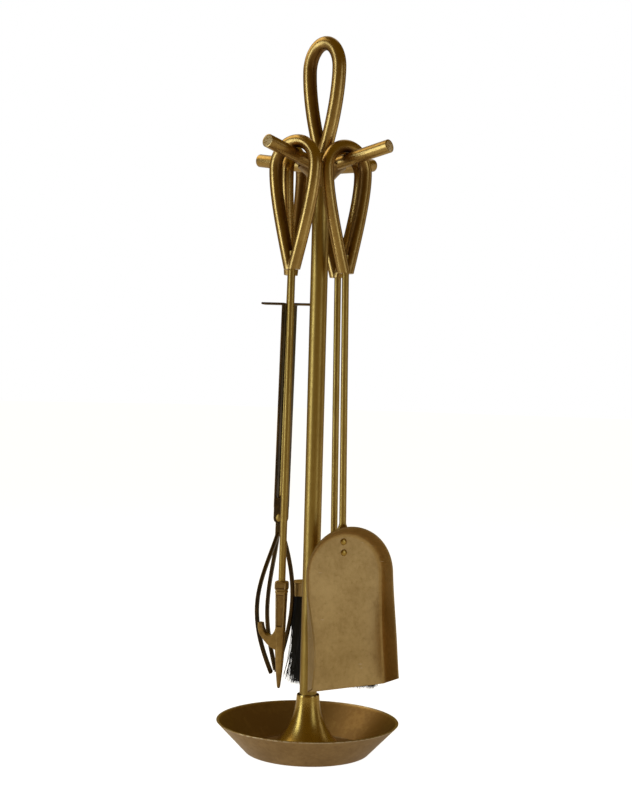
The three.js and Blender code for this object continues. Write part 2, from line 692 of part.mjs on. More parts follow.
// A rivet along X through everything between two faces, with a low dome on both sides.
function rivetBody(radius, headRadius, headHeight, back, front) {
  const dome = [[0, 1], [0.55, 0.88], [0.88, 0.5], [1, 0]];
  const far = front + SEAT_GAP;
  const near = back - SEAT_GAP;
  const profile = [
    ...dome.map(([r, h]) => [r * headRadius, near - h * headHeight]),
    [radius, near],
    [radius, far],
    ...dome.reverse().map(([r, h]) => [r * headRadius, far + h * headHeight]),
  ];
  return turned(profile, 16).rotate([0, 90, 0]);
}

function shovelRivets() {
  const names = ['shovel_rivet_upper', 'shovel_rivet_lower'];
  const front = floorBack + SHOVEL_SHEET;
  return rivetPlaces().map(([y, z], i) => {
    const body = rivetBody(RIVET_RADIUS, RIVET_HEAD_RADIUS, RIVET_HEAD_HEIGHT, -PADDLE_THICKNESS / 2, front);
    return piece(names[i], body.translate([0, y, z]), satinBrass());
  });
}

function shovel() {
  return hungTool(SHOVEL, handle('shovel_handle'), [shovelRod(), shovelPan(), ...shovelRivets()]);
}

// ---- brush ----
const ferruleTop = handleFoot - BRUSH_ROD_LENGTH;
const ferruleBottom = ferruleTop - FERRULE_HEIGHT;
const blockTop = ferruleTop - FERRULE_WALL - SEAT_GAP;
const blockBottom = blockTop - BRUSH_BLOCK_HEIGHT;

function brushFerrule() {
  const shell = stadiumBlock(FERRULE_LENGTH, FERRULE_THICKNESS, ferruleBottom, ferruleTop);
  const [length, thickness] = [FERRULE_LENGTH - 2 * FERRULE_WALL, FERRULE_THICKNESS - 2 * FERRULE_WALL];
  const hollow = stadiumBlock(length, thickness, ferruleBottom - 1, ferruleTop - FERRULE_WALL);
  const rodHole = bar(ROD_RADIUS + SEAT_GAP, blockTop, ferruleTop + 1);
  return piece('brush_ferrule', shell.subtract(hollow).subtract(rodHole), satinBrass());
}

function ferruleInside() {
  const inset = 2 * (FERRULE_WALL + SEAT_GAP);
  return [FERRULE_LENGTH - inset, FERRULE_THICKNESS - inset];
}

function brushBlock() {
  const body = stadiumBlock(...ferruleInside(), blockBottom, blockTop);
  const bore = bar(ROD_RADIUS + SEAT_GAP, blockBottom - 1, blockTop + 1);
  return piece('brush_block', body.subtract(bore), stainedWood());
}

function brushBristles() {
  const [length, thickness] = ferruleInside();
  const top = blockBottom - SEAT_GAP;
  const tips = ferruleBottom - BRISTLE_LENGTH;
  const upper = stadiumBlock(length, thickness, ferruleBottom - 4, top);
  const ringAt = (width, height) => {
    const points = stadium(width, thickness).getPoints(8).slice(0, -1);
    return points.map((point) => [height, point.x, point.y]);
  };
  const lower = ringLoft(ringAt(length + 2 * BRISTLE_FLARE, tips), ringAt(length, ferruleBottom - 3.5));
  const upright = new THREE.Matrix4().set(0, 0, 1, 0, 0, 1, 0, 0, 1, 0, 0, 0, 0, 0, 0, 1);
  const geometry = geometryOf(lower).applyMatrix4(upright);
  return piece('brush_bristles', upper.add(closedBody(geometry)), blackBristle());
}

function brush() {
  const rod = toolRod('brush_rod', blockBottom + SEAT_GAP);
  return hungTool(BRUSH, handle('brush_handle'), [rod, brushFerrule(), brushBlock(), brushBristles()]);
}

// ---- tongs ----
// In the tongs' own frame +X is the way the second arm's finger tab points, +Y is the back
// and the rod's axis is Z. The arms cross at the pivot, so each tab works the far jaw.
const pivotHeight = handleFoot - TONGS_ROD_LENGTH;

function pivotBar(radius, start, end) {
  return bar(radius, start, end, 16).rotate([90, 0, 0]).translate([0, 0, pivotHeight]);
}

function tongsRod() {
  let body = bar(ROD_RADIUS, pivotHeight + 3, handleFoot + ROD_SOCKET_DEPTH - SEAT_GAP);
  const half = TONGS_EYE_HALF;
  body = body.add(pivotBar(TONGS_EYE_RADIUS, -half, half));
  const neck = block([-ROD_RADIUS, -half, pivotHeight], [ROD_RADIUS, half, pivotHeight + 5]);
  body = body.add(neck);
  const cheek = ROD_RADIUS + 1;
  const clear = TONGS_EAR_HEIGHT + 1.5;
  for (const side of [-1, 1]) {
    const [near, far] = side < 0 ? [-cheek, -half] : [half, cheek];
    body = body.subtract(block([-cheek, near, pivotHeight - 1], [cheek, far, pivotHeight + clear]));
  }
  body = body.subtract(pivotBar(TONGS_PIVOT_RADIUS + TONGS_PIVOT_GAP, -9, 9));
  return piece('tongs_rod', body, satinBrass());
}

// One tine of a claw: it leaves the stem, bows out to one side and comes back to the tip.
class TineCurve extends THREE.Curve {
  constructor(start, bow, lag, spread, tip) {
    super();
    Object.assign(this, { start, bow, lag, spread, tip });
  }

  getPoint(t, target = new THREE.Vector3()) {
    const bulge = Math.sin(Math.PI * t ** this.lag);
    const x = this.start[0] * (1 - t) ** 2 + this.bow * bulge + this.tip[0] * t ** 2;
    const reach = Math.sin((Math.PI / 2) * Math.min(1, t * 1.9));
    const y = this.start[1] + (this.spread - this.start[1]) * reach + (this.tip[1] - this.spread) * t ** 3;
    const z = this.start[2] + (this.tip[2] - this.start[2]) * t;
    return target.set(x, y, z);
  }
}

function tine(side, earMiddle, bow, lag, spread, tipSpread) {
  const start = [side * TONGS_STEM_MIDDLE, earMiddle, pivotHeight - TONGS_STEM_LENGTH + 3];
  const tip = [side * 1.8, tipSpread, pivotHeight - TONGS_CLAW_DROP];
  const section = rectangle(TONGS_TINE_THICKNESS, TONGS_TINE_WIDTH);
  return swept(section, new TineCurve(start, side * bow, lag, spread, tip), 18);
}

// A claw: one tine, or two that part from one root, welded to the foot of an arm's stem.
function claw(name, tines) {
  const root = pivotHeight - TONGS_STEM_LENGTH - SEAT_GAP;
  let body = tines[0];
  tines.slice(1).forEach((more) => {
    body = body.add(more);
  });
  return piece(name, body.subtract(block([-40, -40, root], [40, 40, pivotHeight])), darkBrass());
}

// An arm: a long strip beside the rod, a finger tab bent outwards at its top, an ear that
// laps the rod's eye at the pivot, and the stem that the opposite jaw's claw is welded to.
function tongsArm(name, tabSide, face) {
  const half = TONGS_STRIP_WIDTH / 2;
  const outer = TONGS_ARM_OFFSET + TONGS_STRIP_THICKNESS / 2;
  const inner = TONGS_ARM_OFFSET - TONGS_STRIP_THICKNESS / 2;
  const top = pivotHeight + TONGS_ARM_ABOVE;
  const stripBottom = pivotHeight + TONGS_EAR_RADIUS + 4;
  const earNear = TONGS_EYE_HALF + TONGS_EAR_GAP;
  const earFar = earNear + TONGS_STRIP_THICKNESS;
  const span = (a, b) => (tabSide < 0 ? [-b, -a] : [a, b]);
  const [stripLeft, stripRight] = span(inner, outer);
  let body = block([stripLeft, -half, stripBottom], [stripRight, half, top]);
  const [tabLeft, tabRight] = span(inner, outer + TONGS_TAB_LENGTH);
  body = body.add(block([tabLeft, -half, top - TONGS_STRIP_THICKNESS], [tabRight, half, top]));
  const [faceNear, faceFar] = face < 0 ? [-earFar, -earNear] : [earNear, earFar];
  const [webLeft, webRight] = span(-2, outer);
  const web = block([webLeft, faceNear, pivotHeight], [webRight, faceFar, pivotHeight + TONGS_EAR_HEIGHT]);
  const ear = pivotBar(TONGS_EAR_RADIUS, -faceFar, -faceNear);
  const [stemLeft, stemRight] = span(-TONGS_STEM_MIDDLE - 2.8, -TONGS_STEM_MIDDLE + 2.8);
  const stem = block([stemLeft, faceNear, pivotHeight - TONGS_STEM_LENGTH], [stemRight, faceFar, pivotHeight]);
  body = body.add(web).add(ear).add(stem);
  body = body.subtract(pivotBar(TONGS_PIVOT_RADIUS + TONGS_PIVOT_GAP, -12, 12));
  return piece(name, body, darkBrass());
}

function tongsPivotRivet() {
  const stack = TONGS_EYE_HALF + TONGS_EAR_GAP + TONGS_STRIP_THICKNESS;
  const body = rivetBody(TONGS_PIVOT_RADIUS, TONGS_RIVET_HEAD_RADIUS, TONGS_RIVET_HEAD_HEIGHT, -stack, stack);
  return piece('tongs_pivot_rivet', body.rotate([0, 0, 90]).translate([0, 0, pivotHeight]), satinBrass());
}

function tongs() {
  const earMiddle = TONGS_EYE_HALF + TONGS_EAR_GAP + TONGS_STRIP_THICKNESS / 2;
  const single = tine(1, -earMiddle, TONGS_SINGLE_BOW, TONGS_SINGLE_LAG, 0, 0);
  const forked = (way) => {
    const [spread, tipSpread] = [way * TONGS_FORK_SPREAD, way * TONGS_FORK_TIP_SPREAD];
    return tine(-1, earMiddle, TONGS_FORK_BOW, TONGS_FORK_LAG, spread, tipSpread);
  };
  const arms = [
    tongsArm('tongs_single_arm', -1, -1),
    claw('tongs_single_claw', [single]),
    tongsArm('tongs_fork_arm', 1, 1),
    claw('tongs_fork_claw', [forked(-1), forked(1)]),
  ];
  return hungTool(TONGS, handle('tongs_handle'), [tongsRod(), ...arms, tongsPivotRivet()]);
}

// ---- assembly ----
const toolSet = new THREE.Group();
toolSet.add(basePan(), baseWasher(), baseBolt(), poleFoot(), pole(), polePlug(), pegHub());
toolSet.add(peg('peg_poker', POKER), peg('peg_shovel', SHOVEL));
toolSet.add(peg('peg_tongs', TONGS), peg('peg_brush', BRUSH));
toolSet.add(carryLoop(), carryLoopStud());
toolSet.add(poker(), shovel(), tongs(), brush());

export default toolSet;
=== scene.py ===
import math
import random

import bmesh
import bpy
import numpy as np
from mathutils import Matrix, Vector


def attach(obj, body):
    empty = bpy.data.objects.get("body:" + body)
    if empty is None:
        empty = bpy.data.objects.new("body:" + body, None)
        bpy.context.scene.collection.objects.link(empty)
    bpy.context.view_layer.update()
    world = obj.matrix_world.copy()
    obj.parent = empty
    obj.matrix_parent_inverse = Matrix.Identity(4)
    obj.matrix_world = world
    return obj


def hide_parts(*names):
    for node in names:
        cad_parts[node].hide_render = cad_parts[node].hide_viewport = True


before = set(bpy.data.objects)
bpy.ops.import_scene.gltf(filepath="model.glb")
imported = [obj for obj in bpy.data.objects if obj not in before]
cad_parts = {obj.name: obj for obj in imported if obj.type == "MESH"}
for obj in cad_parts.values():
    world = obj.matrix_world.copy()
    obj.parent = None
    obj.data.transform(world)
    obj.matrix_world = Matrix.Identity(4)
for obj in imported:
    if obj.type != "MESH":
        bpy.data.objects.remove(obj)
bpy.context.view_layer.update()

# Fireplace tool set: a dish on the hearth, a pole with four pegs and a carry loop, and the
# poker, shovel, brush and log tongs that hang from the pegs. Sizes are in millimetres in the
# object's own frame, and every mesh is scaled to metres as it is made.
MM = 0.001

# ---- sizes of the stand ----
PAN_RIM_RADIUS = 100
PAN_BASE_RADIUS = 67.4
PAN_HEIGHT = 34
PAN_WALL = 2.4
PAN_FLOOR_RADIUS = 66.6
PAN_RING_RADIUS = 65.2
PAN_RING_WIDTH = 1
PAN_RING_TOP = 3.2
PAN_BOSS_RADIUS = 26
PAN_BOSS_RISE = 7
FOOT_BASE_RADIUS = 41
FOOT_TOP_RADIUS = 12.4
FOOT_HEIGHT = 60
FOOT_WALL = 1.6
POLE_RADIUS = 9.5
POLE_WALL = 1.5
POLE_BOTTOM = 9.7
POLE_TOP = 619
HUB_BOTTOM = 619.3
HUB_RIM_RADIUS = 26.5
HUB_FLARE_HEIGHT = 20.5
HUB_RIM_THICKNESS = 2.5
HUB_CROWN_RADIUS = 11
HUB_CROWN_HEIGHT = 13
PEG_CENTRE_HEIGHT = 640
PEG_TILT = math.radians(10.1)
PEG_RADIUS = 7.2
PEG_START = 9
PEG_END = 93
HANG_GAP = 0.6
BORE_RADIUS = 4.3

# ---- sizes of the loops: see leg_point for what each value shapes ----
CARRY_LOOP = dict(rod=7.7, half_width=20.7, crown=29, length=129.5, foot_half=2.2,
                  shoulder=29, taper=9.8, rise=28)
TOOL_LOOP = dict(rod=7, half_width=27, crown=27, length=145, foot_half=2.2,
                 shoulder=28, taper=11, rise=38)
LOOP_FOOT = 2 * TOOL_LOOP["rod"] - TOOL_LOOP["length"]

# ---- how the tools hang: heading of the peg, place along it, lean and two swivels, in degrees ----
POKER = dict(peg=-90, reach=45.3, lean=0.5, handle=1.8, head=24)
SHOVEL = dict(peg=0, reach=34.2, lean=1.1, handle=-12, head=-26.8)
TONGS = dict(peg=180, reach=38.5, lean=1.05, handle=23, head=-156)
BRUSH = dict(peg=90, reach=30.5, lean=1.08, handle=8, head=24)

ROD_RADIUS = 3.8
ROD_SOCKET = 19.7
POKER_HEAD_TOP = LOOP_FOOT - 334
POKER_HEAD_LENGTH = 115
POKER_BODY_HALF = 5.2
POKER_HOOK_HEIGHT = 44
FLOOR_TOP = LOOP_FOOT - 280
FLOOR_BACK = 1.8
FLOOR_LENGTH = 167
ARCH_RADIUS = 44.5
MOUTH_HALF = 46.5
PAN_SHEET = 1.5
PAN_ROLL = math.radians(2.2)
CORNER_RAKE = 9
SHOVEL_WALL = [(-1, 16.6, 8), (0, 16.6, 6.8), (0.66, 27.4, 3.3), (1, 24.5, 4.8)]
RIVET_DROP = 15.4
RIVET_PITCH = 11.8
RIVET_HEAD_RADIUS = 3.7
PADDLE_TOP = FLOOR_TOP + 10.5
PADDLE_BOTTOM = FLOOR_TOP - 34
FERRULE_TOP = LOOP_FOOT - 341
FERRULE_LENGTH = 97
FERRULE_THICKNESS = 26
FERRULE_HEIGHT = 16
FERRULE_WALL = 1.3
BRISTLE_LENGTH = 99
PIVOT = LOOP_FOOT - 271
ARM_OFFSET = 6.2
ARM_WIDTH = 12.6
ARM_THICKNESS = 2.4
ARM_ABOVE = 240
TAB_LENGTH = 24
EYE_HALF = 2.3
EYE_RADIUS = 6.2
EAR_NEAR = 3.1
EAR_RADIUS = 7.4
STEM_LENGTH = 22
STEM_MIDDLE = 4.4
CLAW_DROP = 173


# ---- plain mesh building: every function returns (vertices, faces) in millimetres ----
def smoothstep(low, high, value):
    t = min(1.0, max(0.0, (value - low) / (high - low)))
    return t * t * (3 - 2 * t)


def rounded(corners, steps=5):
    """An outline from (x, y, radius) corners, each inner corner eased over about its radius."""
    points = []
    for i, (x, y, radius) in enumerate(corners):
        corner = Vector((x, y))
        if radius == 0 or i in (0, len(corners) - 1):
            points.append((x, y))
            continue
        before = Vector(corners[i - 1][:2]) - corner
        after = Vector(corners[i + 1][:2]) - corner
        cut = min(radius / math.tan(before.angle(after) / 2), 0.48 * before.length, 0.48 * after.length)
        start = corner + before.normalized() * cut
        end = corner + after.normalized() * cut
        for k in range(steps + 1):
            t = k / steps
            points.append(tuple(start * (1 - t) ** 2 + corner * 2 * t * (1 - t) + end * t * t))
    return points


def lathe(profile, sides=96, closed=False):
    """A body turned about Z from (radius, height) points."""
    verts, faces, rings = [], [], []
    for radius, height in profile:
        if radius < 1e-6:
            rings.append([len(verts)] * sides)
            verts.append((0, 0, height))
            continue
        rings.append(range(len(verts), len(verts) + sides))
        for k in range(sides):
            angle = 2 * math.pi * k / sides
            verts.append((radius * math.cos(angle), radius * math.sin(angle), height))
    pairs = list(zip(rings, rings[1:]))
    if closed:
        pairs.append((rings[-1], rings[0]))
    for low, high in pairs:
        for k in range(sides):
            n = (k + 1) % sides
            face = [low[k], low[n], high[n], high[k]]
            faces.append(list(dict.fromkeys(face)))
    return verts, faces


def loft(rings):
    """A closed body through rings that have the same number of points."""
    count = len(rings[0])
    verts = [point for ring in rings for point in ring]
    faces = []
    for r in range(len(rings) - 1):
        for k in range(count):
            n = (k + 1) % count
            faces.append([r * count + k, r * count + n, (r + 1) * count + n, (r + 1) * count + k])
    faces.append(list(range(count))[::-1])
    faces.append(list(range(len(verts) - count, len(verts))))
    return verts, faces


def sweep(path, section, side):
    """A section of (side, up) points carried along a path of vectors, with side kept fixed."""
    rings = []
    for i, point in enumerate(path):
        tangent = (path[min(i + 1, len(path) - 1)] - path[max(i - 1, 0)]).normalized()
        up = tangent.cross(side).normalized()
        across = up.cross(tangent).normalized()
        rings.append([tuple(point + across * a + up * b) for a, b in section])
    return loft(rings)


def circle(radius, sides=40):
    turn = 2 * math.pi / sides
    return [(radius * math.cos(k * turn), radius * math.sin(k * turn)) for k in range(sides)]


def rounded_bar_section(width, height, power=5, sides=32):
    """A rectangle with soft corners, as a superellipse."""
    points = []
    for x, y in circle(1, sides):
        points.append((width / 2 * math.copysign(abs(x) ** (2 / power), x),
                       height / 2 * math.copysign(abs(y) ** (2 / power), y)))
    return points


def box(low, high):
    (a, b, c), (d, e, f) = low, high
    verts = [(a, b, c), (d, b, c), (d, e, c), (a, e, c), (a, b, f), (d, b, f), (d, e, f), (a, e, f)]
    faces = [[0, 3, 2, 1], [4, 5, 6, 7], [0, 1, 5, 4], [1, 2, 6, 5], [2, 3, 7, 6], [3, 0, 4, 7]]
    return verts, faces


def moved(geometry, matrix):
    verts, faces = geometry
    return [tuple(matrix @ Vector(v)) for v in verts], faces


def joined(*bodies):
    verts, faces = [], []
    for more_verts, more_faces in bodies:
        offset = len(verts)
        verts.extend(more_verts)
        faces.extend([[i + offset for i in face] for face in more_faces])
    return verts, faces


def mesh_from(name, geometry, scale=1.0):
    verts, faces = geometry
    mesh = bpy.data.meshes.new(name)
    mesh.from_pydata([(x * scale, y * scale, z * scale) for x, y, z in verts], [], faces)
    build = bmesh.new()
    build.from_mesh(mesh)
    bmesh.ops.recalc_face_normals(build, faces=build.faces)
    build.to_mesh(mesh)
    build.free()
    return mesh


def evaluated(geometry, add_modifiers):
    """The geometry after modifiers, still in millimetres."""
    work = bpy.data.objects.new("work", mesh_from("work", geometry))
    bpy.context.scene.collection.objects.link(work)
    add_modifiers(work)
    depsgraph = bpy.context.evaluated_depsgraph_get()
    mesh = bpy.data.meshes.new_from_object(work.evaluated_get(depsgraph))
    result = [tuple(v.co) for v in mesh.vertices], [list(p.vertices) for p in mesh.polygons]
    bpy.data.meshes.remove(mesh)
    old = work.data
    bpy.data.objects.remove(work)
    bpy.data.meshes.remove(old)
    return result


def fused(geometry, grain, smoothing):
    """Overlapping bodies made one skin, with its inner corners filled as in a casting."""
    def add(work):
        remesh = work.modifiers.new("fuse", "REMESH")
        remesh.mode = "VOXEL"
        remesh.voxel_size = grain
        smooth = work.modifiers.new("ease", "SMOOTH")
        smooth.factor = 0.5
        smooth.iterations = smoothing
    return evaluated(geometry, add)


def cut_flat(geometry, height):
    """The part of a body above a level, closed with a flat face."""
    mesh = mesh_from("cut", geometry)
    build = bmesh.new()
    build.from_mesh(mesh)
    everything = list(build.verts) + list(build.edges) + list(build.faces)
    bmesh.ops.bisect_plane(build, geom=everything, plane_co=(0, 0, height), plane_no=(0, 0, 1),
                           clear_inner=True)
    rim = [edge for edge in build.edges if edge.is_boundary]
    bmesh.ops.edgeloop_fill(build, edges=rim)
    build.verts.index_update()
    result = [tuple(v.co) for v in build.verts], [[v.index for v in f.verts] for f in build.faces]
    build.free()
    bpy.data.meshes.remove(mesh)
    return result


def mark_worn_and_highlit_edges(mesh):
    """Writes each point's outward bend as the attribute edge, from 0 on flats to 1 on sharp edges. The finish
    brightens edges by it, partly as rubbed wear and partly as painted highlights along them.
    """
    count = len(mesh.vertices)
    points = np.empty(count * 3)
    mesh.vertices.foreach_get("co", points)
    points = points.reshape(-1, 3)
    normals = np.empty(count * 3)
    mesh.vertices.foreach_get("normal", normals)
    normals = normals.reshape(-1, 3)
    ends = np.empty(len(mesh.edges) * 2, dtype=int)
    mesh.edges.foreach_get("vertices", ends)
    first, second = ends.reshape(-1, 2).T
    step = points[first] - points[second]
    step /= np.maximum(np.linalg.norm(step, axis=1), 1e-9)[:, None]
    bend = np.zeros(count)
    shares = np.zeros(count)
    np.add.at(bend, first, np.einsum("ij,ij->i", normals[first], step))
    np.add.at(bend, second, -np.einsum("ij,ij->i", normals[second], step))
    np.add.at(shares, first, 1)
    np.add.at(shares, second, 1)
    # The high gain turns sheet edges into thin pale lines, painted highlights along the edges.
    value = np.clip(bend / np.maximum(shares, 1) * 3.2 - 0.17, 0, 1)
    mesh.attributes.new("edge", "FLOAT", "POINT").data.foreach_set("value", value.astype(np.float32))


def add_piece(name, geometry, body, material, nodes=(), place=Matrix(), crease=38,
              shade_and_patina=None, rubbed_and_highlit=None):
    """One shown piece: placed, shaded, given its finish and tied to its body, with the CAD nodes it stands
    for hidden.

    The last two functions give, for a point before it is placed, how much it is darkened there, as painted
    shade on most pieces, and how much it is brightened there, as rubbed wear and painted highlights, each
    from 0 to 1."""
    mesh = mesh_from(name, moved(geometry, place), MM)
    mesh.shade_smooth()
    mesh.set_sharp_from_angle(angle=math.radians(crease))
    mark_worn_and_highlit_edges(mesh)
    # Each point's darkening, painted shade on most pieces, is kept as a point attribute.
    if shade_and_patina:
        depths = [shade_and_patina(point) for point in geometry[0]]
        mesh.attributes.new("shade_and_patina", "FLOAT", "POINT").data.foreach_set("value", depths)
    # Points brightened here, painted highlights on the dish rim and peg ends, join the edge attribute.
    if rubbed_and_highlit:
        for value, point in zip(mesh.attributes["edge"].data, geometry[0]):
            value.value = max(value.value, rubbed_and_highlit(point))
    mesh.materials.append(material)
    piece = bpy.data.objects.new(name, mesh)
    bpy.context.scene.collection.objects.link(piece)
    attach(piece, body)
    if nodes:
        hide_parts(*nodes)
    return piece


# ---- where things are ----
def turn_about_z(degrees):
    return Matrix.Rotation(math.radians(degrees), 4, "Z")


def hang_place(tool, swivel):
    """From a tool's own frame, whose origin is inside the top of its loop, to the set's frame."""
    above = (PEG_RADIUS + TOOL_LOOP["rod"]) / math.cos(PEG_TILT) - TOOL_LOOP["rod"] + HANG_GAP
    height = PEG_CENTRE_HEIGHT + tool["reach"] * math.tan(PEG_TILT) + above
    hang = Matrix.Translation((tool["reach"], 0, height))
    lean = Matrix.Rotation(-math.radians(tool["lean"]), 4, "Y")
    return turn_about_z(tool["peg"]) @ hang @ lean @ turn_about_z(swivel)


def peg_place(tool):
    tip = Matrix.Rotation(math.pi / 2 - PEG_TILT, 4, "Y")
    return Matrix.Translation((0, 0, PEG_CENTRE_HEIGHT)) @ turn_about_z(tool["peg"]) @ tip


# ---- shared surface effects ----
def group_socket(group, name, direction, kind, value=None):
    socket = group.interface.new_socket(name=name, in_out=direction, socket_type="NodeSocket" + kind)
    if value is not None:
        socket.default_value = value
    return socket


def math_node(tree, operation, *values, clamp=False):
    node = tree.nodes.new("ShaderNodeMath")
    node.operation = operation
    node.use_clamp = clamp
    for socket, value in zip(node.inputs, values):
        if isinstance(value, (int, float)):
            socket.default_value = value
        else:
            tree.links.new(value, socket)
    return node.outputs[0]


def noise_node(tree, place, scale, detail, roughness=0.55, stretch=None):
    if stretch:
        mapping = tree.nodes.new("ShaderNodeMapping")
        mapping.inputs["Scale"].default_value = stretch
        tree.links.new(place, mapping.inputs["Vector"])
        place = mapping.outputs[0]
    node = tree.nodes.new("ShaderNodeTexNoise")
    tree.links.new(place, node.inputs["Vector"])
    if isinstance(scale, (int, float)):
        node.inputs["Scale"].default_value = scale
    else:
        tree.links.new(scale, node.inputs["Scale"])
    node.inputs["Detail"].default_value = detail
    node.inputs["Roughness"].default_value = roughness
    return node.outputs["Fac"]


def blend_colours(tree, share, first, second, mode="MIX"):
    node = tree.nodes.new("ShaderNodeMix")
    node.data_type = "RGBA"
    node.blend_type = mode
    for name, value in (("Factor", share), ("A", first), ("B", second)):
        socket = next(s for s in node.inputs if s.name == name and s.enabled)
        if isinstance(value, (int, float, tuple)):
            socket.default_value = value
        else:
            tree.links.new(value, socket)
    return next(s for s in node.outputs if s.enabled)


def eased(tree, value, low, high):
    node = tree.nodes.new("ShaderNodeMapRange")
    node.interpolation_type = "SMOOTHSTEP"
    tree.links.new(value, node.inputs["Value"])
    node.inputs["From Min"].default_value = low
    node.inputs["From Max"].default_value = high
    return node.outputs["Result"]


def antique_finish_group():
    """Lacquered antique brass: cloudy tarnish, fine mottling, pits, painted shade from a point attribute, and
    edges brightened as rubbed wear and as painted highlights.
    """
    group = bpy.data.node_groups.new("antique brass finish", "ShaderNodeTree")
    for name, colour in (("Brass", (0.4, 0.26, 0.09, 1)), ("Tarnish And Shade", (0.2, 0.11, 0.03, 1)),
                         ("Rubbed And Highlit", (0.7, 0.52, 0.26, 1))):
        group_socket(group, name, "INPUT", "Color", colour)
    for name, value in (("Tarnish Share", 0.4), ("Edge Rub And Highlight", 0.5), ("Grain Scale", 900.0),
                        ("Pits", 0.3), ("Roughness", 0.35)):
        group_socket(group, name, "INPUT", "Float", value)
    group_socket(group, "Colour", "OUTPUT", "Color")
    group_socket(group, "Surface Roughness", "OUTPUT", "Float")
    group_socket(group, "Height", "OUTPUT", "Float")
    given = group.nodes.new("NodeGroupInput").outputs
    result = group.nodes.new("NodeGroupOutput").inputs
    place = group.nodes.new("ShaderNodeTexCoord").outputs["Object"]
    worn_and_highlit = group.nodes.new("ShaderNodeAttribute")
    worn_and_highlit.attribute_name = "edge"
    # Each point's darkening from add_piece: painted shade on most pieces.
    shade_and_patina_node = group.nodes.new("ShaderNodeAttribute")
    shade_and_patina_node.attribute_name = "shade_and_patina"

    clouds = noise_node(group, place, 24.0, 4.0, 0.6)
    mottle = noise_node(group, place, 210.0, 5.0, 0.65)
    grain = noise_node(group, place, given["Grain Scale"], 3.0, 0.6)
    broad = math_node(group, "MULTIPLY", clouds, 0.62)
    patches = math_node(group, "ADD", broad, math_node(group, "MULTIPLY", mottle, 0.38))
    tarnish_and_shade = math_node(group, "MULTIPLY", eased(group, patches, 0.34, 0.66), given["Tarnish Share"])
    dirt_ring = eased(group, mottle, 0.56, 0.74)
    tarnish_and_shade = math_node(group, "ADD", tarnish_and_shade, math_node(group, "MULTIPLY", dirt_ring, 0.18))
    # Painted shade, and the poker panels' darkening, add to the tarnish.
    tarnish_and_shade = math_node(group, "ADD", tarnish_and_shade, shade_and_patina_node.outputs["Fac"], clamp=True)
    toned = blend_colours(group, tarnish_and_shade, given["Brass"], given["Tarnish And Shade"])
    # Edges brighten: partly rubbed wear, partly painted highlights.
    broken = math_node(group, "MULTIPLY", worn_and_highlit.outputs["Fac"], eased(group, mottle, 0.3, 0.62))
    rub_and_highlight = math_node(group, "MULTIPLY", broken, given["Edge Rub And Highlight"], clamp=True)
    toned = blend_colours(group, rub_and_highlight, toned, given["Rubbed And Highlit"])

    pit = eased(group, grain, 0.62, 0.74)
    pit = math_node(group, "MULTIPLY", pit, given["Pits"])
    toned = blend_colours(group, math_node(group, "MULTIPLY", pit, 0.7), toned, given["Tarnish And Shade"])
    group.links.new(toned, result["Colour"])

    rough = math_node(group, "ADD", given["Roughness"], math_node(group, "MULTIPLY", tarnish_and_shade, 0.16))
    uneven = math_node(group, "MULTIPLY", math_node(group, "SUBTRACT", grain, 0.5), 0.22)
    rough = math_node(group, "ADD", rough, uneven)
    rough = math_node(group, "SUBTRACT", rough, math_node(group, "MULTIPLY", rub_and_highlight, 0.12), clamp=True)
    group.links.new(rough, result["Surface Roughness"])
    height = math_node(group, "SUBTRACT", math_node(group, "MULTIPLY", grain, 0.5), pit)
    height = math_node(group, "ADD", height, math_node(group, "MULTIPLY", mottle, 0.9))
    group.links.new(height, result["Height"])
    return group


def sheet_marks_group():
    """Fine brushing and a few short scratches on rolled sheet, as a height and a mask."""
    group = bpy.data.node_groups.new("sheet marks", "ShaderNodeTree")
    group_socket(group, "Brushing", "OUTPUT", "Float")
    group_socket(group, "Scratches", "OUTPUT", "Float")
    result = group.nodes.new("NodeGroupOutput").inputs
    place = group.nodes.new("ShaderNodeTexCoord").outputs["Object"]
    streaks = noise_node(group, place, 260.0, 3.0, 0.6, stretch=(4.0, 4.0, 0.35))
    group.links.new(streaks, result["Brushing"])
    lines = noise_node(group, place, 60.0, 2.0, 0.5, stretch=(1.0, 1.0, 9.0))
    fine = noise_node(group, place, 38.0, 1.0, 0.5)
    scratch = math_node(group, "MULTIPLY", eased(group, lines, 0.70, 0.74), eased(group, fine, 0.58, 0.66))
    group.links.new(scratch, result["Scratches"])
    return group


ANTIQUE_FINISH = antique_finish_group()
SHEET_MARKS = sheet_marks_group()


def new_material(name):
    material = bpy.data.materials.new(name)
    material.use_nodes = True
    return material, material.node_tree, material.node_tree.nodes["Principled BSDF"]


def object_place(tree):
    return tree.nodes.new("ShaderNodeTexCoord").outputs["Object"]


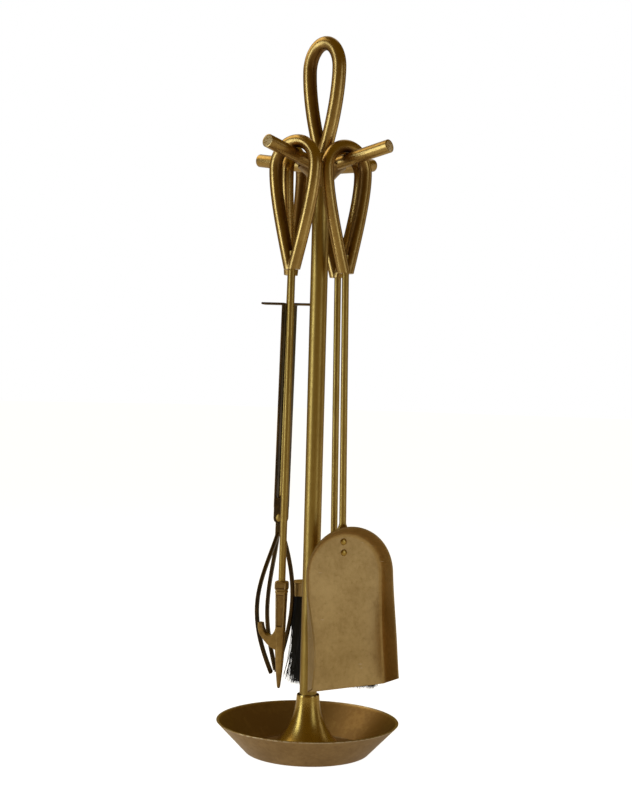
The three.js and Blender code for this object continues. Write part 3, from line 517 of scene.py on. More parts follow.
def brass_material(name, brass, tarnish_and_shade, rubbed_and_highlit, share, rub_and_highlight, grain, pits, roughness, relief, brushed=False):
    """Metal with the antique finish: its three colours, then how much of each effect it has."""
    material, tree, shader = new_material(name)
    finish = tree.nodes.new("ShaderNodeGroup")
    finish.node_tree = ANTIQUE_FINISH
    for socket, colour in (("Brass", brass), ("Tarnish And Shade", tarnish_and_shade), ("Rubbed And Highlit", rubbed_and_highlit)):
        finish.inputs[socket].default_value = (*colour, 1)
    for socket, value in (("Tarnish Share", share), ("Edge Rub And Highlight", rub_and_highlight), ("Grain Scale", grain),
                          ("Pits", pits), ("Roughness", roughness)):
        finish.inputs[socket].default_value = value
    colour, height = finish.outputs["Colour"], finish.outputs["Height"]
    if brushed:
        marks = tree.nodes.new("ShaderNodeGroup")
        marks.node_tree = SHEET_MARKS
        colour = blend_colours(tree, marks.outputs["Scratches"], colour, (*rubbed_and_highlit, 1))
        height = math_node(tree, "ADD", height, math_node(tree, "MULTIPLY", marks.outputs["Brushing"], 0.6))
        height = math_node(tree, "SUBTRACT", height, marks.outputs["Scratches"])
    bump = tree.nodes.new("ShaderNodeBump")
    bump.inputs["Strength"].default_value = 1.0
    bump.inputs["Distance"].default_value = relief * MM
    tree.links.new(height, bump.inputs["Height"])
    tree.links.new(colour, shader.inputs["Base Color"])
    tree.links.new(finish.outputs["Surface Roughness"], shader.inputs["Roughness"])
    tree.links.new(bump.outputs["Normal"], shader.inputs["Normal"])
    shader.inputs["Metallic"].default_value = 1.0
    shader.inputs["Coat Weight"].default_value = 0.25
    shader.inputs["Coat Roughness"].default_value = 0.32
    return material


def zinc_material():
    """Zinc plate with a faint spangle."""
    material, tree, shader = new_material("zinc plate")
    spangle = noise_node(tree, object_place(tree), 420.0, 3.0)
    colour = blend_colours(tree, spangle, (0.42, 0.42, 0.41, 1), (0.62, 0.62, 0.6, 1))
    rough = math_node(tree, "ADD", math_node(tree, "MULTIPLY", spangle, 0.25), 0.25)
    tree.links.new(colour, shader.inputs["Base Color"])
    tree.links.new(rough, shader.inputs["Roughness"])
    shader.inputs["Metallic"].default_value = 1.0
    return material


def bristle_material():
    """Black bristle, a little browner and duller where ash has dusted it."""
    material, tree, shader = new_material("black bristle")
    strands = noise_node(tree, object_place(tree), 900.0, 2.0)
    colour = blend_colours(tree, strands, (0.002, 0.002, 0.002, 1), (0.016, 0.014, 0.012, 1))
    rough = math_node(tree, "ADD", math_node(tree, "MULTIPLY", strands, 0.3), 0.35)
    tree.links.new(colour, shader.inputs["Base Color"])
    tree.links.new(rough, shader.inputs["Roughness"])
    return material


def wood_material():
    """Dark stained wood with a long grain."""
    material, tree, shader = new_material("stained wood")
    grain = noise_node(tree, object_place(tree), 120.0, 5.0, 0.6, stretch=(0.2, 2.0, 2.0))
    colour = blend_colours(tree, grain, (0.014, 0.009, 0.006, 1), (0.055, 0.033, 0.018, 1))
    tree.links.new(colour, shader.inputs["Base Color"])
    bump = tree.nodes.new("ShaderNodeBump")
    bump.inputs["Distance"].default_value = 0.2 * MM
    tree.links.new(grain, bump.inputs["Height"])
    tree.links.new(bump.outputs["Normal"], shader.inputs["Normal"])
    shader.inputs["Roughness"].default_value = 0.6
    return material


SATIN = brass_material(
    "satin antique brass", (0.43, 0.28, 0.06), (0.31, 0.18, 0.028), (0.72, 0.58, 0.32),
    share=0.45, rub_and_highlight=0.6, grain=1500.0, pits=0.12, roughness=0.36, relief=0.05)
CAST = brass_material(
    "cast antique brass", (0.52, 0.33, 0.09), (0.19, 0.09, 0.013), (0.78, 0.62, 0.34),
    share=0.4, rub_and_highlight=0.75, grain=950.0, pits=0.3, roughness=0.25, relief=0.06)
ROUGH_CAST = brass_material(
    "rough cast antique brass", (0.44, 0.27, 0.075), (0.15, 0.07, 0.012), (0.78, 0.62, 0.34),
    share=0.55, rub_and_highlight=1.0, grain=900.0, pits=0.5, roughness=0.28, relief=0.14)
SPUN = brass_material(
    "spun antique brass", (0.5, 0.32, 0.065), (0.28, 0.15, 0.018), (0.78, 0.62, 0.36),
    share=0.4, rub_and_highlight=0.6, grain=1500.0, pits=0.12, roughness=0.25, relief=0.04)
SHEET = brass_material(
    "brushed sheet brass", (0.62, 0.42, 0.165), (0.43, 0.275, 0.085), (0.8, 0.68, 0.48),
    share=0.55, rub_and_highlight=0.8, grain=1300.0, pits=0.15, roughness=0.46, relief=0.07, brushed=True)
DISH = brass_material(
    "bronzed dish brass", (0.44, 0.275, 0.095), (0.27, 0.15, 0.04), (0.8, 0.7, 0.5),
    share=0.6, rub_and_highlight=0.8, grain=1300.0, pits=0.2, roughness=0.38, relief=0.08)
# Near-black brass for the tongs' arms, with brown edges.
DARK = brass_material(
    "near-black brass", (0.11, 0.06, 0.013), (0.014, 0.007, 0.002), (0.62, 0.38, 0.13),
    share=0.9, rub_and_highlight=1.0, grain=1200.0, pits=0.35, roughness=0.36, relief=0.1)
ZINC = zinc_material()
BRISTLE = bristle_material()
WOOD = wood_material()


# ---- stand ----
def between(start, end, shares):
    """Plain points on the straight line from one (radius, height) point to another."""
    return [(start[0] + (end[0] - start[0]) * s, start[1] + (end[1] - start[1]) * s, 0) for s in shares]


def dish():
    floor, boss, ring = PAN_WALL, PAN_BOSS_RISE, PAN_RING_RADIUS
    outside = between((PAN_BASE_RADIUS, 0), (PAN_RIM_RADIUS, PAN_HEIGHT - 0.3), (0.12, 0.5, 0.95))
    inside = between((PAN_RIM_RADIUS - 3.4, PAN_HEIGHT - 1), (PAN_FLOOR_RADIUS, floor + 0.2),
                     (0.05, 0.5, 0.9))
    corners = [
        (BORE_RADIUS, boss, 0), (PAN_BOSS_RADIUS, boss, 2), (PAN_BOSS_RADIUS + 3.5, 0, 1),
        (PAN_BASE_RADIUS, 0, 5),
        *outside, (PAN_RIM_RADIUS, PAN_HEIGHT - 0.3, 0.6), (PAN_RIM_RADIUS - 0.4, PAN_HEIGHT, 0.4),
        (PAN_RIM_RADIUS - 2.6, PAN_HEIGHT, 0.5), (PAN_RIM_RADIUS - 3.4, PAN_HEIGHT - 1, 1), *inside,
        (PAN_FLOOR_RADIUS, floor + 0.2, 1.2), (ring + 0.2, floor, 0.2), (ring, PAN_RING_TOP, 0.3),
        (ring - PAN_RING_WIDTH, PAN_RING_TOP, 0.3), (ring - PAN_RING_WIDTH - 0.2, floor, 0.2),
        (PAN_BOSS_RADIUS + 6, floor, 2), (PAN_BOSS_RADIUS + 2.4, boss + floor, 2),
        (BORE_RADIUS, boss + floor, 0)]

    def inside_painted_shade(point):
        """Painted shade inside the dish: darkest on the floor, lighter up the wall, none on the rim."""
        reach, height = math.hypot(point[0], point[1]), point[2]
        if height < 2 or height > PAN_HEIGHT - 1.5 or reach > PAN_BASE_RADIUS - 1 + height * 0.93:
            return 0
        return 0.65 if reach > 66 else 0.95
    shape = lathe(rounded(corners, 6), 192, closed=True)
    # A painted highlight runs round the top of the rim as a pale line.
    add_piece("dish", shape, "stand", DISH, ["base_pan"],
              shade_and_patina=inside_painted_shade, rubbed_and_highlit=lambda point: point[2] > PAN_HEIGHT - 0.9)


def foot_radius(share):
    fall = FOOT_BASE_RADIUS - FOOT_TOP_RADIUS
    return FOOT_TOP_RADIUS + fall * (0.16 * (1 - share) + 0.84 * (1 - share) ** 2.6)


def trumpet_foot():
    bottom, steps = 2.7, 48
    heights = [(k / steps) ** 1.4 for k in range(steps + 1)]
    outer = [(foot_radius(s), bottom + 0.6 + s * (FOOT_HEIGHT - 1.2)) for s in heights]
    inner = [(foot_radius(s) - FOOT_WALL, bottom + 0.6 + s * (FOOT_HEIGHT - 1.2)) for s in heights[::-1]]
    lip = [(FOOT_TOP_RADIUS - inset, bottom + FOOT_HEIGHT) for inset in (0.3, FOOT_WALL - 0.3)]
    profile = [(FOOT_BASE_RADIUS - 0.3, bottom)] + outer + lip + inner
    add_piece("trumpet_foot", lathe(profile, 128, closed=True), "stand", SPUN, ["pole_foot"])


def tube_pole():
    inner, outer = POLE_RADIUS - POLE_WALL, POLE_RADIUS
    ends = [POLE_BOTTOM + 1.5, POLE_BOTTOM + 40, POLE_TOP - 40, POLE_TOP - 1.5]
    profile = [(inner, POLE_BOTTOM), (outer, POLE_BOTTOM)]
    profile += [(outer, height) for height in ends] + [(outer, POLE_TOP), (inner, POLE_TOP)]
    add_piece("tube_pole", lathe(profile, 96, closed=True), "stand", SATIN, ["pole"])


def cast_hub():
    neck = POLE_RADIUS + 0.4
    rim = HUB_BOTTOM + HUB_FLARE_HEIGHT
    rim_top = rim + HUB_RIM_THICKNESS
    top = rim_top + HUB_CROWN_HEIGHT
    shares = [k / 16 for k in range(16)]
    flare = [(neck + (HUB_RIM_RADIUS - neck) * s ** 1.55, HUB_BOTTOM + HUB_FLARE_HEIGHT * s) for s in shares]
    crown = rounded([
        (HUB_RIM_RADIUS - 1, rim - 0.6, 0), (HUB_RIM_RADIUS, rim, 0.8),
        (HUB_RIM_RADIUS, rim_top, 1.2), (HUB_RIM_RADIUS * 0.7, rim_top + HUB_CROWN_HEIGHT * 0.45, 6),
        (HUB_CROWN_RADIUS, top - 3, 1.5), (HUB_CROWN_RADIUS, top, 0.8), (0, top, 0)])
    inside = [(0, HUB_BOTTOM - 16), (7.7, HUB_BOTTOM - 16), (7.7, HUB_BOTTOM)]
    add_piece("cast_hub", lathe(inside + flare + crown, 128), "stand", ROUGH_CAST, ["peg_hub"])


def pegs():
    for name, tool in (("poker", POKER), ("shovel", SHOVEL), ("tongs", TONGS), ("brush", BRUSH)):
        corners = [(0, PEG_START, 0), (PEG_RADIUS, PEG_START, 0.5), (PEG_RADIUS, PEG_END - 0.2, 0.9),
                   (PEG_RADIUS - 1.2, PEG_END, 0.8), (0, PEG_END, 0)]
        # The end face of each peg is painted pale, a painted highlight.
        add_piece("round_peg_" + name, lathe(rounded(corners), 72), "stand", CAST,
                  ["peg_" + name], peg_place(tool), rubbed_and_highlit=lambda point: 0.8 * (point[2] > PEG_END - 0.1))


# ---- teardrop loops ----
def leg_point(loop, share):
    """The bar's middle line down one side: a round top, then a curve in to the flat foot."""
    arc_end = 0.34
    top = loop["rod"]
    if share < arc_end:
        angle = math.pi / 2 * share / arc_end
        return loop["half_width"] * math.sin(angle), top - loop["crown"] * (1 - math.cos(angle))
    t = (share - arc_end) / (1 - arc_end)
    weights = ((1 - t) ** 3, 3 * t * (1 - t) ** 2, 3 * t * t * (1 - t), t ** 3)
    side = top - loop["crown"]
    foot = 2 * loop["rod"] - loop["length"]
    across = (loop["half_width"], loop["half_width"], loop["foot_half"] + loop["taper"], loop["foot_half"])
    heights = (side, side - loop["shoulder"], foot + loop["rise"], foot)
    return sum(a * w for a, w in zip(across, weights)), sum(h * w for h, w in zip(heights, weights))


def teardrop(loop):
    """A bar bent into a teardrop whose two ends are fused and cut flat."""
    half = [leg_point(loop, k / 90) for k in range(91)]
    end = Vector(half[-1]) + (Vector(half[-1]) - Vector(half[-2])).normalized() * 9
    half.append(tuple(end))
    path = [Vector((0, -y, z)) for y, z in half[::-1]] + [Vector((0, y, z)) for y, z in half[1:]]
    bar = sweep(path, circle(loop["rod"], 48), Vector((1, 0, 0)))
    skin = fused(bar, 0.75, 7)
    return cut_flat(skin, 2 * loop["rod"] - loop["length"])


def inner_painted_shade(loop):
    """Painted shade along the loop's inner side, facing its opening."""
    half = [leg_point(loop, k / 60) for k in range(61)][::-1]
    heights, across = [z for _, z in half], [y for y, _ in half]
    centre = loop["rod"] - loop["crown"]

    def depth(point):
        _, y, z = point
        if z > centre:
            middle, reach = loop["crown"], math.hypot(y * loop["crown"] / loop["half_width"], z - centre)
        else:
            middle, reach = float(np.interp(z, heights, across)), abs(y)
        return 0.8 * smoothstep(0.1 * loop["rod"], 0.95 * loop["rod"], middle - reach)
    return depth


def carry_loop():
    hub_top = HUB_BOTTOM + HUB_FLARE_HEIGHT + HUB_RIM_THICKNESS + HUB_CROWN_HEIGHT
    height = hub_top + 0.3 - 2 * CARRY_LOOP["rod"] + CARRY_LOOP["length"]
    place = Matrix.Translation((0, 0, height)) @ turn_about_z(90)
    # Painted shade on the loop's inner side.
    add_piece("bent_carry_loop", teardrop(CARRY_LOOP), "stand", CAST, ["carry_loop"], place,
              shade_and_patina=inner_painted_shade(CARRY_LOOP))


def loop_handles():
    shape = teardrop(TOOL_LOOP)
    for name, tool in (("poker", POKER), ("shovel", SHOVEL), ("tongs", TONGS), ("brush", BRUSH)):
        # Painted shade on each handle loop's inner side.
        add_piece("bent_handle_" + name, shape, name, CAST, [name + "_handle"],
                  hang_place(tool, tool["handle"]), shade_and_patina=inner_painted_shade(TOOL_LOOP))


def round_rod(bottom, top=LOOP_FOOT + ROD_SOCKET):
    corners = [(0, bottom, 0), (ROD_RADIUS, bottom, 0.4), (ROD_RADIUS, top, 0.4), (0, top, 0)]
    return lathe(rounded(corners), 64)


# ---- poker ----
def hook_outline():
    """Side view of the hook that curls up beside the poker's body."""
    root, inside = POKER_HOOK_HEIGHT, -POKER_BODY_HALF + 1

    def curve(start, control, end, steps=14):
        spots = [k / steps for k in range(1, steps + 1)]
        return [tuple(Vector(start) * (1 - t) ** 2 + Vector(control) * 2 * t * (1 - t) + Vector(end) * t * t)
                for t in spots]
    points = [(0, root + 22), (0, root - 2), (inside, root - 2.5)]
    points += curve((inside, root - 2.5), (-12.5, root), (-20.5, root + 11))
    points += curve((-20.5, root + 11), (-25.2, root + 17), (-24.2, root + 25.6))
    points += [(-19.8, root + 25.2)]
    points += curve((-19.8, root + 25.2), (-17.6, root + 12.5), (-11.5, root + 12.5))
    return points + curve((-11.5, root + 12.5), (-6.5, root + 12.5), (inside, root + 22))


def poker_shaft():
    """The head's body from its round point up to its square, slightly wider top."""
    rings = []
    stations = [(0.2, 1.0, 2), (1.4, 1.7, 2), (4.2, 2.1, 2), (16, 3.4, 2), (28, 4.3, 2.2), (40, 5.0, 2.6),
                (48, 4.9, 3.6), (58, 4.8, 5), (80, 5.2, 7), (POKER_HEAD_LENGTH - 11, 5.75, 7)]
    for (low, half_a, power_a), (high, half_b, power_b) in zip(stations, stations[1:]):
        steps = max(1, round((high - low) / 2.5))
        for k in range(steps):
            t = k / steps
            half, power = half_a + (half_b - half_a) * t, power_a + (power_b - power_a) * t
            rings.append((low + (high - low) * t, half, power))
    rings.append((stations[-1][0] + 1.5, stations[-1][1], 7))
    return loft([[(x, y, z) for x, y in rounded_bar_section(2 * half, 2 * half, power, 48)]
                 for z, half, power in rings])


def poker_collar():
    """A soft-edged square collar over a narrow groove."""
    base = POKER_HEAD_LENGTH - 11
    rings = [(base - 1.6, 5.9), (base - 1.2, 6.35), (base + 0.2, 6.35), (base + 0.8, 5.8), (base + 1.5, 5.8),
             (base + 2.3, 6.7), (base + 3.2, 6.9), (base + 8, 6.9), (base + 9.8, 6.6), (base + 10.8, 5.9),
             (base + 11, 5.2)]
    return loft([[(x, y, z) for x, y in rounded_bar_section(2 * half, 2 * half, 5, 56)] for z, half in rings])


def panel_press(point):
    """How far a point is pressed into the panels on each side of the body and the collar."""
    x, y, z = point
    collar = POKER_HEAD_LENGTH - 11
    for low, top, half_low, half_top, border, depth in (
            (POKER_HOOK_HEIGHT + 22, collar - 3, 4.9, 5.75, 1.5, 1.1),
            (collar + 2.2, collar + 9.4, 6.9, 6.9, 1.7, 0.8)):
        if low <= z <= top and y > -half_top - 1:
            half = half_low + (half_top - half_low) * (z - low) / (top - low)
            along = smoothstep(low, low + border, z) * (1 - smoothstep(top - border, top, z))
            press_x, press_y = [
                along * smoothstep(half - 1.6, half - 0.8, abs(out))
                * (1 - smoothstep(half - border - 0.8, half - border, abs(across)))
                for out, across in ((x, y), (y, x))]
            return press_x, press_y, depth
    return 0, 0, 0


def panelled(point):
    """The point moved in by its share of the panels' depth."""
    x, y, z = point
    press_x, press_y, depth = panel_press(point)
    return math.copysign(abs(x) - depth * press_x, x), math.copysign(abs(y) - depth * press_y, y), z


def poker_head():
    side = 4.6
    outline = hook_outline()
    hook = loft([[(x, y, z) for y, z in outline] for x in (-side, side)])
    skin = fused(joined(hook, poker_shaft(), poker_collar()), 0.42, 4)
    shape = [panelled(v) for v in skin[0]], skin[1]
    # Darker where the panels sink in: most along their sloping sides, a little on the sunken faces.
    sunk_share = {pressed: max(panel_press(v)[:2]) for v, pressed in zip(skin[0], shape[0])}
    place = hang_place(POKER, POKER["head"]) @ Matrix.Translation((0, 0, POKER_HEAD_TOP - POKER_HEAD_LENGTH))
    add_piece("cast_poker_head", shape, "poker", ROUGH_CAST, ["poker_head"], place,
              shade_and_patina=lambda point: min(0.95, 3.6 * sunk_share[point] * (1 - sunk_share[point])) + 0.25 * sunk_share[point])


def poker():
    place = hang_place(POKER, POKER["head"])
    rod = round_rod(POKER_HEAD_TOP - ROD_SOCKET)
    add_piece("round_poker_rod", rod, "poker", SATIN, ["poker_rod"], place)
    poker_head()


# ---- shovel ----
def wall_at(along):
    """Rise and flare of the shovel's wall at a place along it, eased between the stated ones."""
    index = next(i for i, stated in enumerate(SHOVEL_WALL) if stated[0] >= along - 1e-9)
    low, high = SHOVEL_WALL[max(1, index) - 1], SHOVEL_WALL[max(1, index)]
    share = smoothstep(low[0], high[0], along)
    return low[1] + (high[1] - low[1]) * share, low[2] + (high[2] - low[2]) * share


def shovel_half_outline():
    """Corners of the fold from the arch's top down one side: place, way outwards, place along."""
    centre = FLOOR_TOP - ARCH_RADIUS
    corners = []
    for k in range(49):
        angle = math.pi / 2 * (1 - k / 48)
        out = (math.cos(angle), math.sin(angle))
        corners.append(((ARCH_RADIUS * out[0], centre + ARCH_RADIUS * out[1]), out, -math.sin(angle)))
    run = FLOOR_LENGTH - ARCH_RADIUS
    for k in range(1, 61):
        along = k / 60
        half = ARCH_RADIUS + (MOUTH_HALF - ARCH_RADIUS) * along ** 2
        corners.append(((half, centre - run * along), (1, 0), along))
    return corners


def shovel_sheet():
    """The pan as one sheet: floor, rounded fold and flaring wall, raked off at the mouth."""
    fold, steps_across = 4.5, 28
    verts, faces = [], []
    half = shovel_half_outline()

    def wall_column(place, out, along):
        rise, flare = wall_at(along)
        column = []
        for k in range(7):
            t = k / 6
            column.append((-fold * (1 - t) ** 2 + flare / rise * fold * t * t, fold * t * t))
        for k in range(1, 9):
            up = fold + (rise - fold) * k / 8
            column.append((flare / rise * up, up))
        points = []
        for margin, up in column:
            y, z = place[0] + out[0] * margin, place[1] + out[1] * margin
            z += CORNER_RAKE * up / rise * max(0.0, along) ** 6
            points.append((FLOOR_BACK + up, y, z))
        return points

    rows = []
    for place, out, along in half:
        right = wall_column(place, out, along)
        left = [(x, -y, z) for x, y, z in right]
        inner = right[0][1]
        shares = [1 - 2 * k / steps_across for k in range(1, steps_across)]
        floor = [(FLOOR_BACK, inner * share, right[0][2]) for share in shares]
        rows.append(right[::-1] + floor + left)
    width = len(rows[0])
    for row in rows:
        verts.extend(row)
    for r in range(len(rows) - 1):
        for k in range(width - 1):
            faces.append([r * width + k, r * width + k + 1, (r + 1) * width + k + 1, (r + 1) * width + k])
    return verts, faces


def thickened(geometry, thickness, edge):
    def add(work):
        mesh = work.data
        build = bmesh.new()
        build.from_mesh(mesh)
        bmesh.ops.remove_doubles(build, verts=build.verts, dist=1e-3)
        bmesh.ops.dissolve_degenerate(build, edges=build.edges, dist=1e-4)
        bmesh.ops.recalc_face_normals(build, faces=build.faces)
        floor = max(build.faces, key=lambda face: face.calc_area())
        if floor.normal.x < 0:
            bmesh.ops.reverse_faces(build, faces=build.faces)
        build.to_mesh(mesh)
        build.free()
        solid = work.modifiers.new("sheet", "SOLIDIFY")
        solid.thickness = thickness
        solid.offset = 1
        solid.use_even_offset = True
        bevel = work.modifiers.new("rim", "BEVEL")
        bevel.width = edge
        bevel.segments = 2
        bevel.limit_method = "ANGLE"
        bevel.angle_limit = math.radians(50)
    return evaluated(geometry, add)


def rivet_dome(back, front, radius, head, height):
    """A rivet along X with a low dome at both ends."""
    dome = [(math.sin(math.pi / 2 * k / 8), math.cos(math.pi / 2 * k / 8)) for k in range(9)]
    low = [(head * s, back - height * c) for s, c in dome]
    high = [(head * s, front + height * c) for s, c in dome]
    body = lathe(low + [(radius, back), (radius, front)] + high[::-1], 40)
    return moved(body, Matrix.Rotation(math.pi / 2, 4, "Y"))


def paddle_rod():
    """The shovel's rod, hammered out flat behind the pan."""
    rings = []
    top = LOOP_FOOT + ROD_SOCKET
    for z in [top, top - 1, PADDLE_TOP + 2] + [PADDLE_TOP - 9 * k / 14 for k in range(15)]:
        flat = smoothstep(PADDLE_TOP + 0.01, PADDLE_TOP - 9, z) if z < PADDLE_TOP else 0
        thick = ROD_RADIUS + (1.45 - ROD_RADIUS) * flat
        wide = ROD_RADIUS + (6.5 - ROD_RADIUS) * flat
        rings.append((thick, wide, 2 + 4 * flat, z))
    for k in range(1, 13):
        z = PADDLE_TOP - 9 + (PADDLE_BOTTOM - PADDLE_TOP + 9) * k / 12
        round_end = math.sqrt(max(0.03, 1 - max(0.0, (PADDLE_BOTTOM + 5 - z) / 5) ** 2))
        rings.append((1.45, 6.5 * round_end, 6, z))
    return loft([[(x, y, z) for x, y in rounded_bar_section(2 * a, 2 * b, p)] for a, b, p, z in rings])


def shovel():
    place = hang_place(SHOVEL, SHOVEL["head"])
    rivet_middle = FLOOR_TOP - RIVET_DROP
    roll = (Matrix.Translation((0, 0, rivet_middle)) @ Matrix.Rotation(PAN_ROLL, 4, "X")
            @ Matrix.Translation((0, 0, -rivet_middle)))
    add_piece("flattened_shovel_rod", paddle_rod(), "shovel", SATIN, ["shovel_rod"], place)
    pan = thickened(shovel_sheet(), PAN_SHEET, 0.3)
    # Painted shade on the pan's walls from a few millimetres above the floor; none on the floor.
    add_piece("pressed_shovel_pan", pan, "shovel", SHEET, ["shovel_pan"], place @ roll,
              shade_and_patina=lambda point: 0.6 * smoothstep(FLOOR_BACK + 3, FLOOR_BACK + 9, point[0]))
    rivet = rivet_dome(-1.8, FLOOR_BACK + PAN_SHEET, 2, RIVET_HEAD_RADIUS, 1.5)
    for name, side in (("upper", 1), ("lower", -1)):
        spot = place @ roll @ Matrix.Translation((0, 0, rivet_middle + side * RIVET_PITCH / 2))
        # Painted shade in a ring round the edge of each rivet's head.
        add_piece("domed_rivet_" + name, rivet, "shovel", SPUN, ["shovel_rivet_" + name], spot,
                  shade_and_patina=lambda point: math.hypot(point[1], point[2]) > 0.9 * RIVET_HEAD_RADIUS)


# ---- brush ----
def stadium_ring(length, thickness, z, arc=20):
    radius = thickness / 2
    reach = length / 2 - radius
    ring = []
    for side, start in ((1, 0), (-1, math.pi)):
        for k in range(arc + 1):
            angle = start + math.pi * k / arc
            ring.append((radius * math.cos(angle), side * reach + radius * math.sin(angle), z))
    return ring


def ferrule():
    """A pressed cap with a soft upper edge and a lower edge rolled inwards."""
    bottom = FERRULE_TOP - FERRULE_HEIGHT
    inside = FERRULE_TOP - FERRULE_WALL
    profile = rounded([(9, inside, 0), (FERRULE_WALL, inside, 0.6), (FERRULE_WALL, bottom, 0.5),
                       (0.4, bottom, 0.3), (0, bottom + 0.6, 0.4), (0, FERRULE_TOP, 1.4),
                       (9, FERRULE_TOP, 0)], 6)
    return loft([stadium_ring(FERRULE_LENGTH - 2 * inset, FERRULE_THICKNESS - 2 * inset, z)
                 for inset, z in profile])


def bristle_bundle(seed=7):
    """Thousands of tapering bristles that fan out and gather in clumps, with loose wisps at one end."""
    dice = random.Random(seed)
    root = FERRULE_TOP - FERRULE_HEIGHT + 3
    half_length, half_thickness = FERRULE_LENGTH / 2 - 3, FERRULE_THICKNESS / 2 - 3
    clumps = [(dice.uniform(-half_length, half_length), dice.uniform(-half_thickness, half_thickness),
               dice.gauss(0, 2.2), dice.gauss(0, 1.8)) for _ in range(70)]
    verts, faces = [], []
    for _ in range(3400):
        x0, y0 = dice.uniform(-half_thickness, half_thickness), dice.uniform(-half_length, half_length)
        near = min(clumps, key=lambda clump: (clump[0] - y0) ** 2 + (clump[1] - x0) ** 2)
        fan = (y0 / half_length) ** 3 * 5.5 + near[2] + dice.gauss(0, 1.3)
        lift = (x0 / half_thickness) * 1.6 + near[3] + dice.gauss(0, 1.0)
        gather = dice.uniform(0.25, 0.6)
        length = BRISTLE_LENGTH + 3 - abs(dice.gauss(0, 3.2)) - (8 if dice.random() < 0.05 else 0)
        sway = dice.gauss(0, 0.8)
        splay, thick = 0.0, 0.3
        if y0 > half_length * 0.7:
            fan = -2.5 + dice.gauss(0, 1.5)
            if dice.random() < 0.17:
                splay, thick = dice.uniform(3, 16), 0.55
                length -= 0.5 * splay * dice.random()
        for ring in range(6):
            t = ring / 5
            pull = gather * t * t
            y = y0 + (near[0] - y0) * pull * 0.35 + fan * t ** 1.8
            y += sway * math.sin(math.pi * t) + splay * t ** 2.4
            x = x0 + (near[1] - x0) * pull * 0.35 + lift * t ** 1.8
            radius = thick * (1 - 0.6 * t ** 2)
            for a, b in ((1, 0), (-0.5, 0.87), (-0.5, -0.87)):
                verts.append((x + a * radius, y + b * radius, root - length * t))
        first = len(verts) - 18
        for ring in range(5):
            for k in range(3):
                n = (k + 1) % 3
                low, high = first + ring * 3, first + ring * 3 + 3
                faces.append([low + k, low + n, high + n, high + k])
        faces.append([first, first + 1, first + 2])
        faces.append([first + 17, first + 16, first + 15])
    return verts, faces


def brush():
    place = hang_place(BRUSH, BRUSH["head"])
    bottom = FERRULE_TOP - FERRULE_HEIGHT + 4.8
    add_piece("round_brush_rod", round_rod(bottom), "brush", SATIN, ["brush_rod"], place)
    add_piece("pressed_ferrule", ferrule(), "brush", SHEET, ["brush_ferrule"], place)
    inset = 2 * (FERRULE_WALL + 0.3)
    block = [stadium_ring(FERRULE_LENGTH - inset - trim, FERRULE_THICKNESS - inset - trim, z)
             for trim, z in ((1, bottom), (0, bottom + 0.5), (0, bottom + 8.4), (1, bottom + 8.9))]
    add_piece("wooden_block", loft(block), "brush", WOOD, ["brush_block"], place)
    add_piece("bristles", bristle_bundle(), "brush", BRISTLE, ["brush_bristles"], place,
              crease=80)


# ---- tongs: in their own frame the second tab points along +X and +Y is the back ----
def tongs_eye_rod():
    """The tongs' rod, flattened into a round eye for the pivot."""
    rings = []
    top = LOOP_FOOT + ROD_SOCKET
    flat_top = PIVOT + 27
    for z in [top, top - 1, flat_top + 8] + [flat_top - 5 * k / 10 for k in range(11)]:
        flat = 1 - smoothstep(flat_top - 5, flat_top, z)
        rings.append((ROD_RADIUS, ROD_RADIUS + (EYE_HALF - ROD_RADIUS) * flat, 2 + 3 * flat, z))
    for k in range(25):
        z = PIVOT + 12 - (12 + EYE_RADIUS - 0.05) * k / 24
        eye = math.sqrt(max(0.1, EYE_RADIUS ** 2 - (z - PIVOT) ** 2))
        wide = eye if z < PIVOT else max(ROD_RADIUS, eye if z - PIVOT < EYE_RADIUS else 0)
        rings.append((wide, EYE_HALF, 5, z))
    return loft([[(x, y, z) for x, y in rounded_bar_section(2 * a, 2 * b, p)] for a, b, p, z in rings])


def tine(side, ear_middle, bow, lag, spread, tip_spread):
    """One tine: it leaves the stem, bows out to one side and comes back in to the tip."""
    start = Vector((side * STEM_MIDDLE, ear_middle, PIVOT - STEM_LENGTH + 3))
    tip = Vector((side * 1.8, tip_spread, PIVOT - CLAW_DROP))
    path = []
    for k in range(73):
        t = k / 72
        x = start.x * (1 - t) ** 2 + side * bow * math.sin(math.pi * t ** lag) + tip.x * t * t
        reach = math.sin(math.pi / 2 * min(1, t * 1.9))
        y = start.y + (spread - start.y) * reach + (tip.y - spread) * t ** 3
        path.append(Vector((x, y, start.z + (tip.z - start.z) * t)))
    return sweep(path, rounded_bar_section(6, 4, 7, 28), Vector((0, 1, 0)))


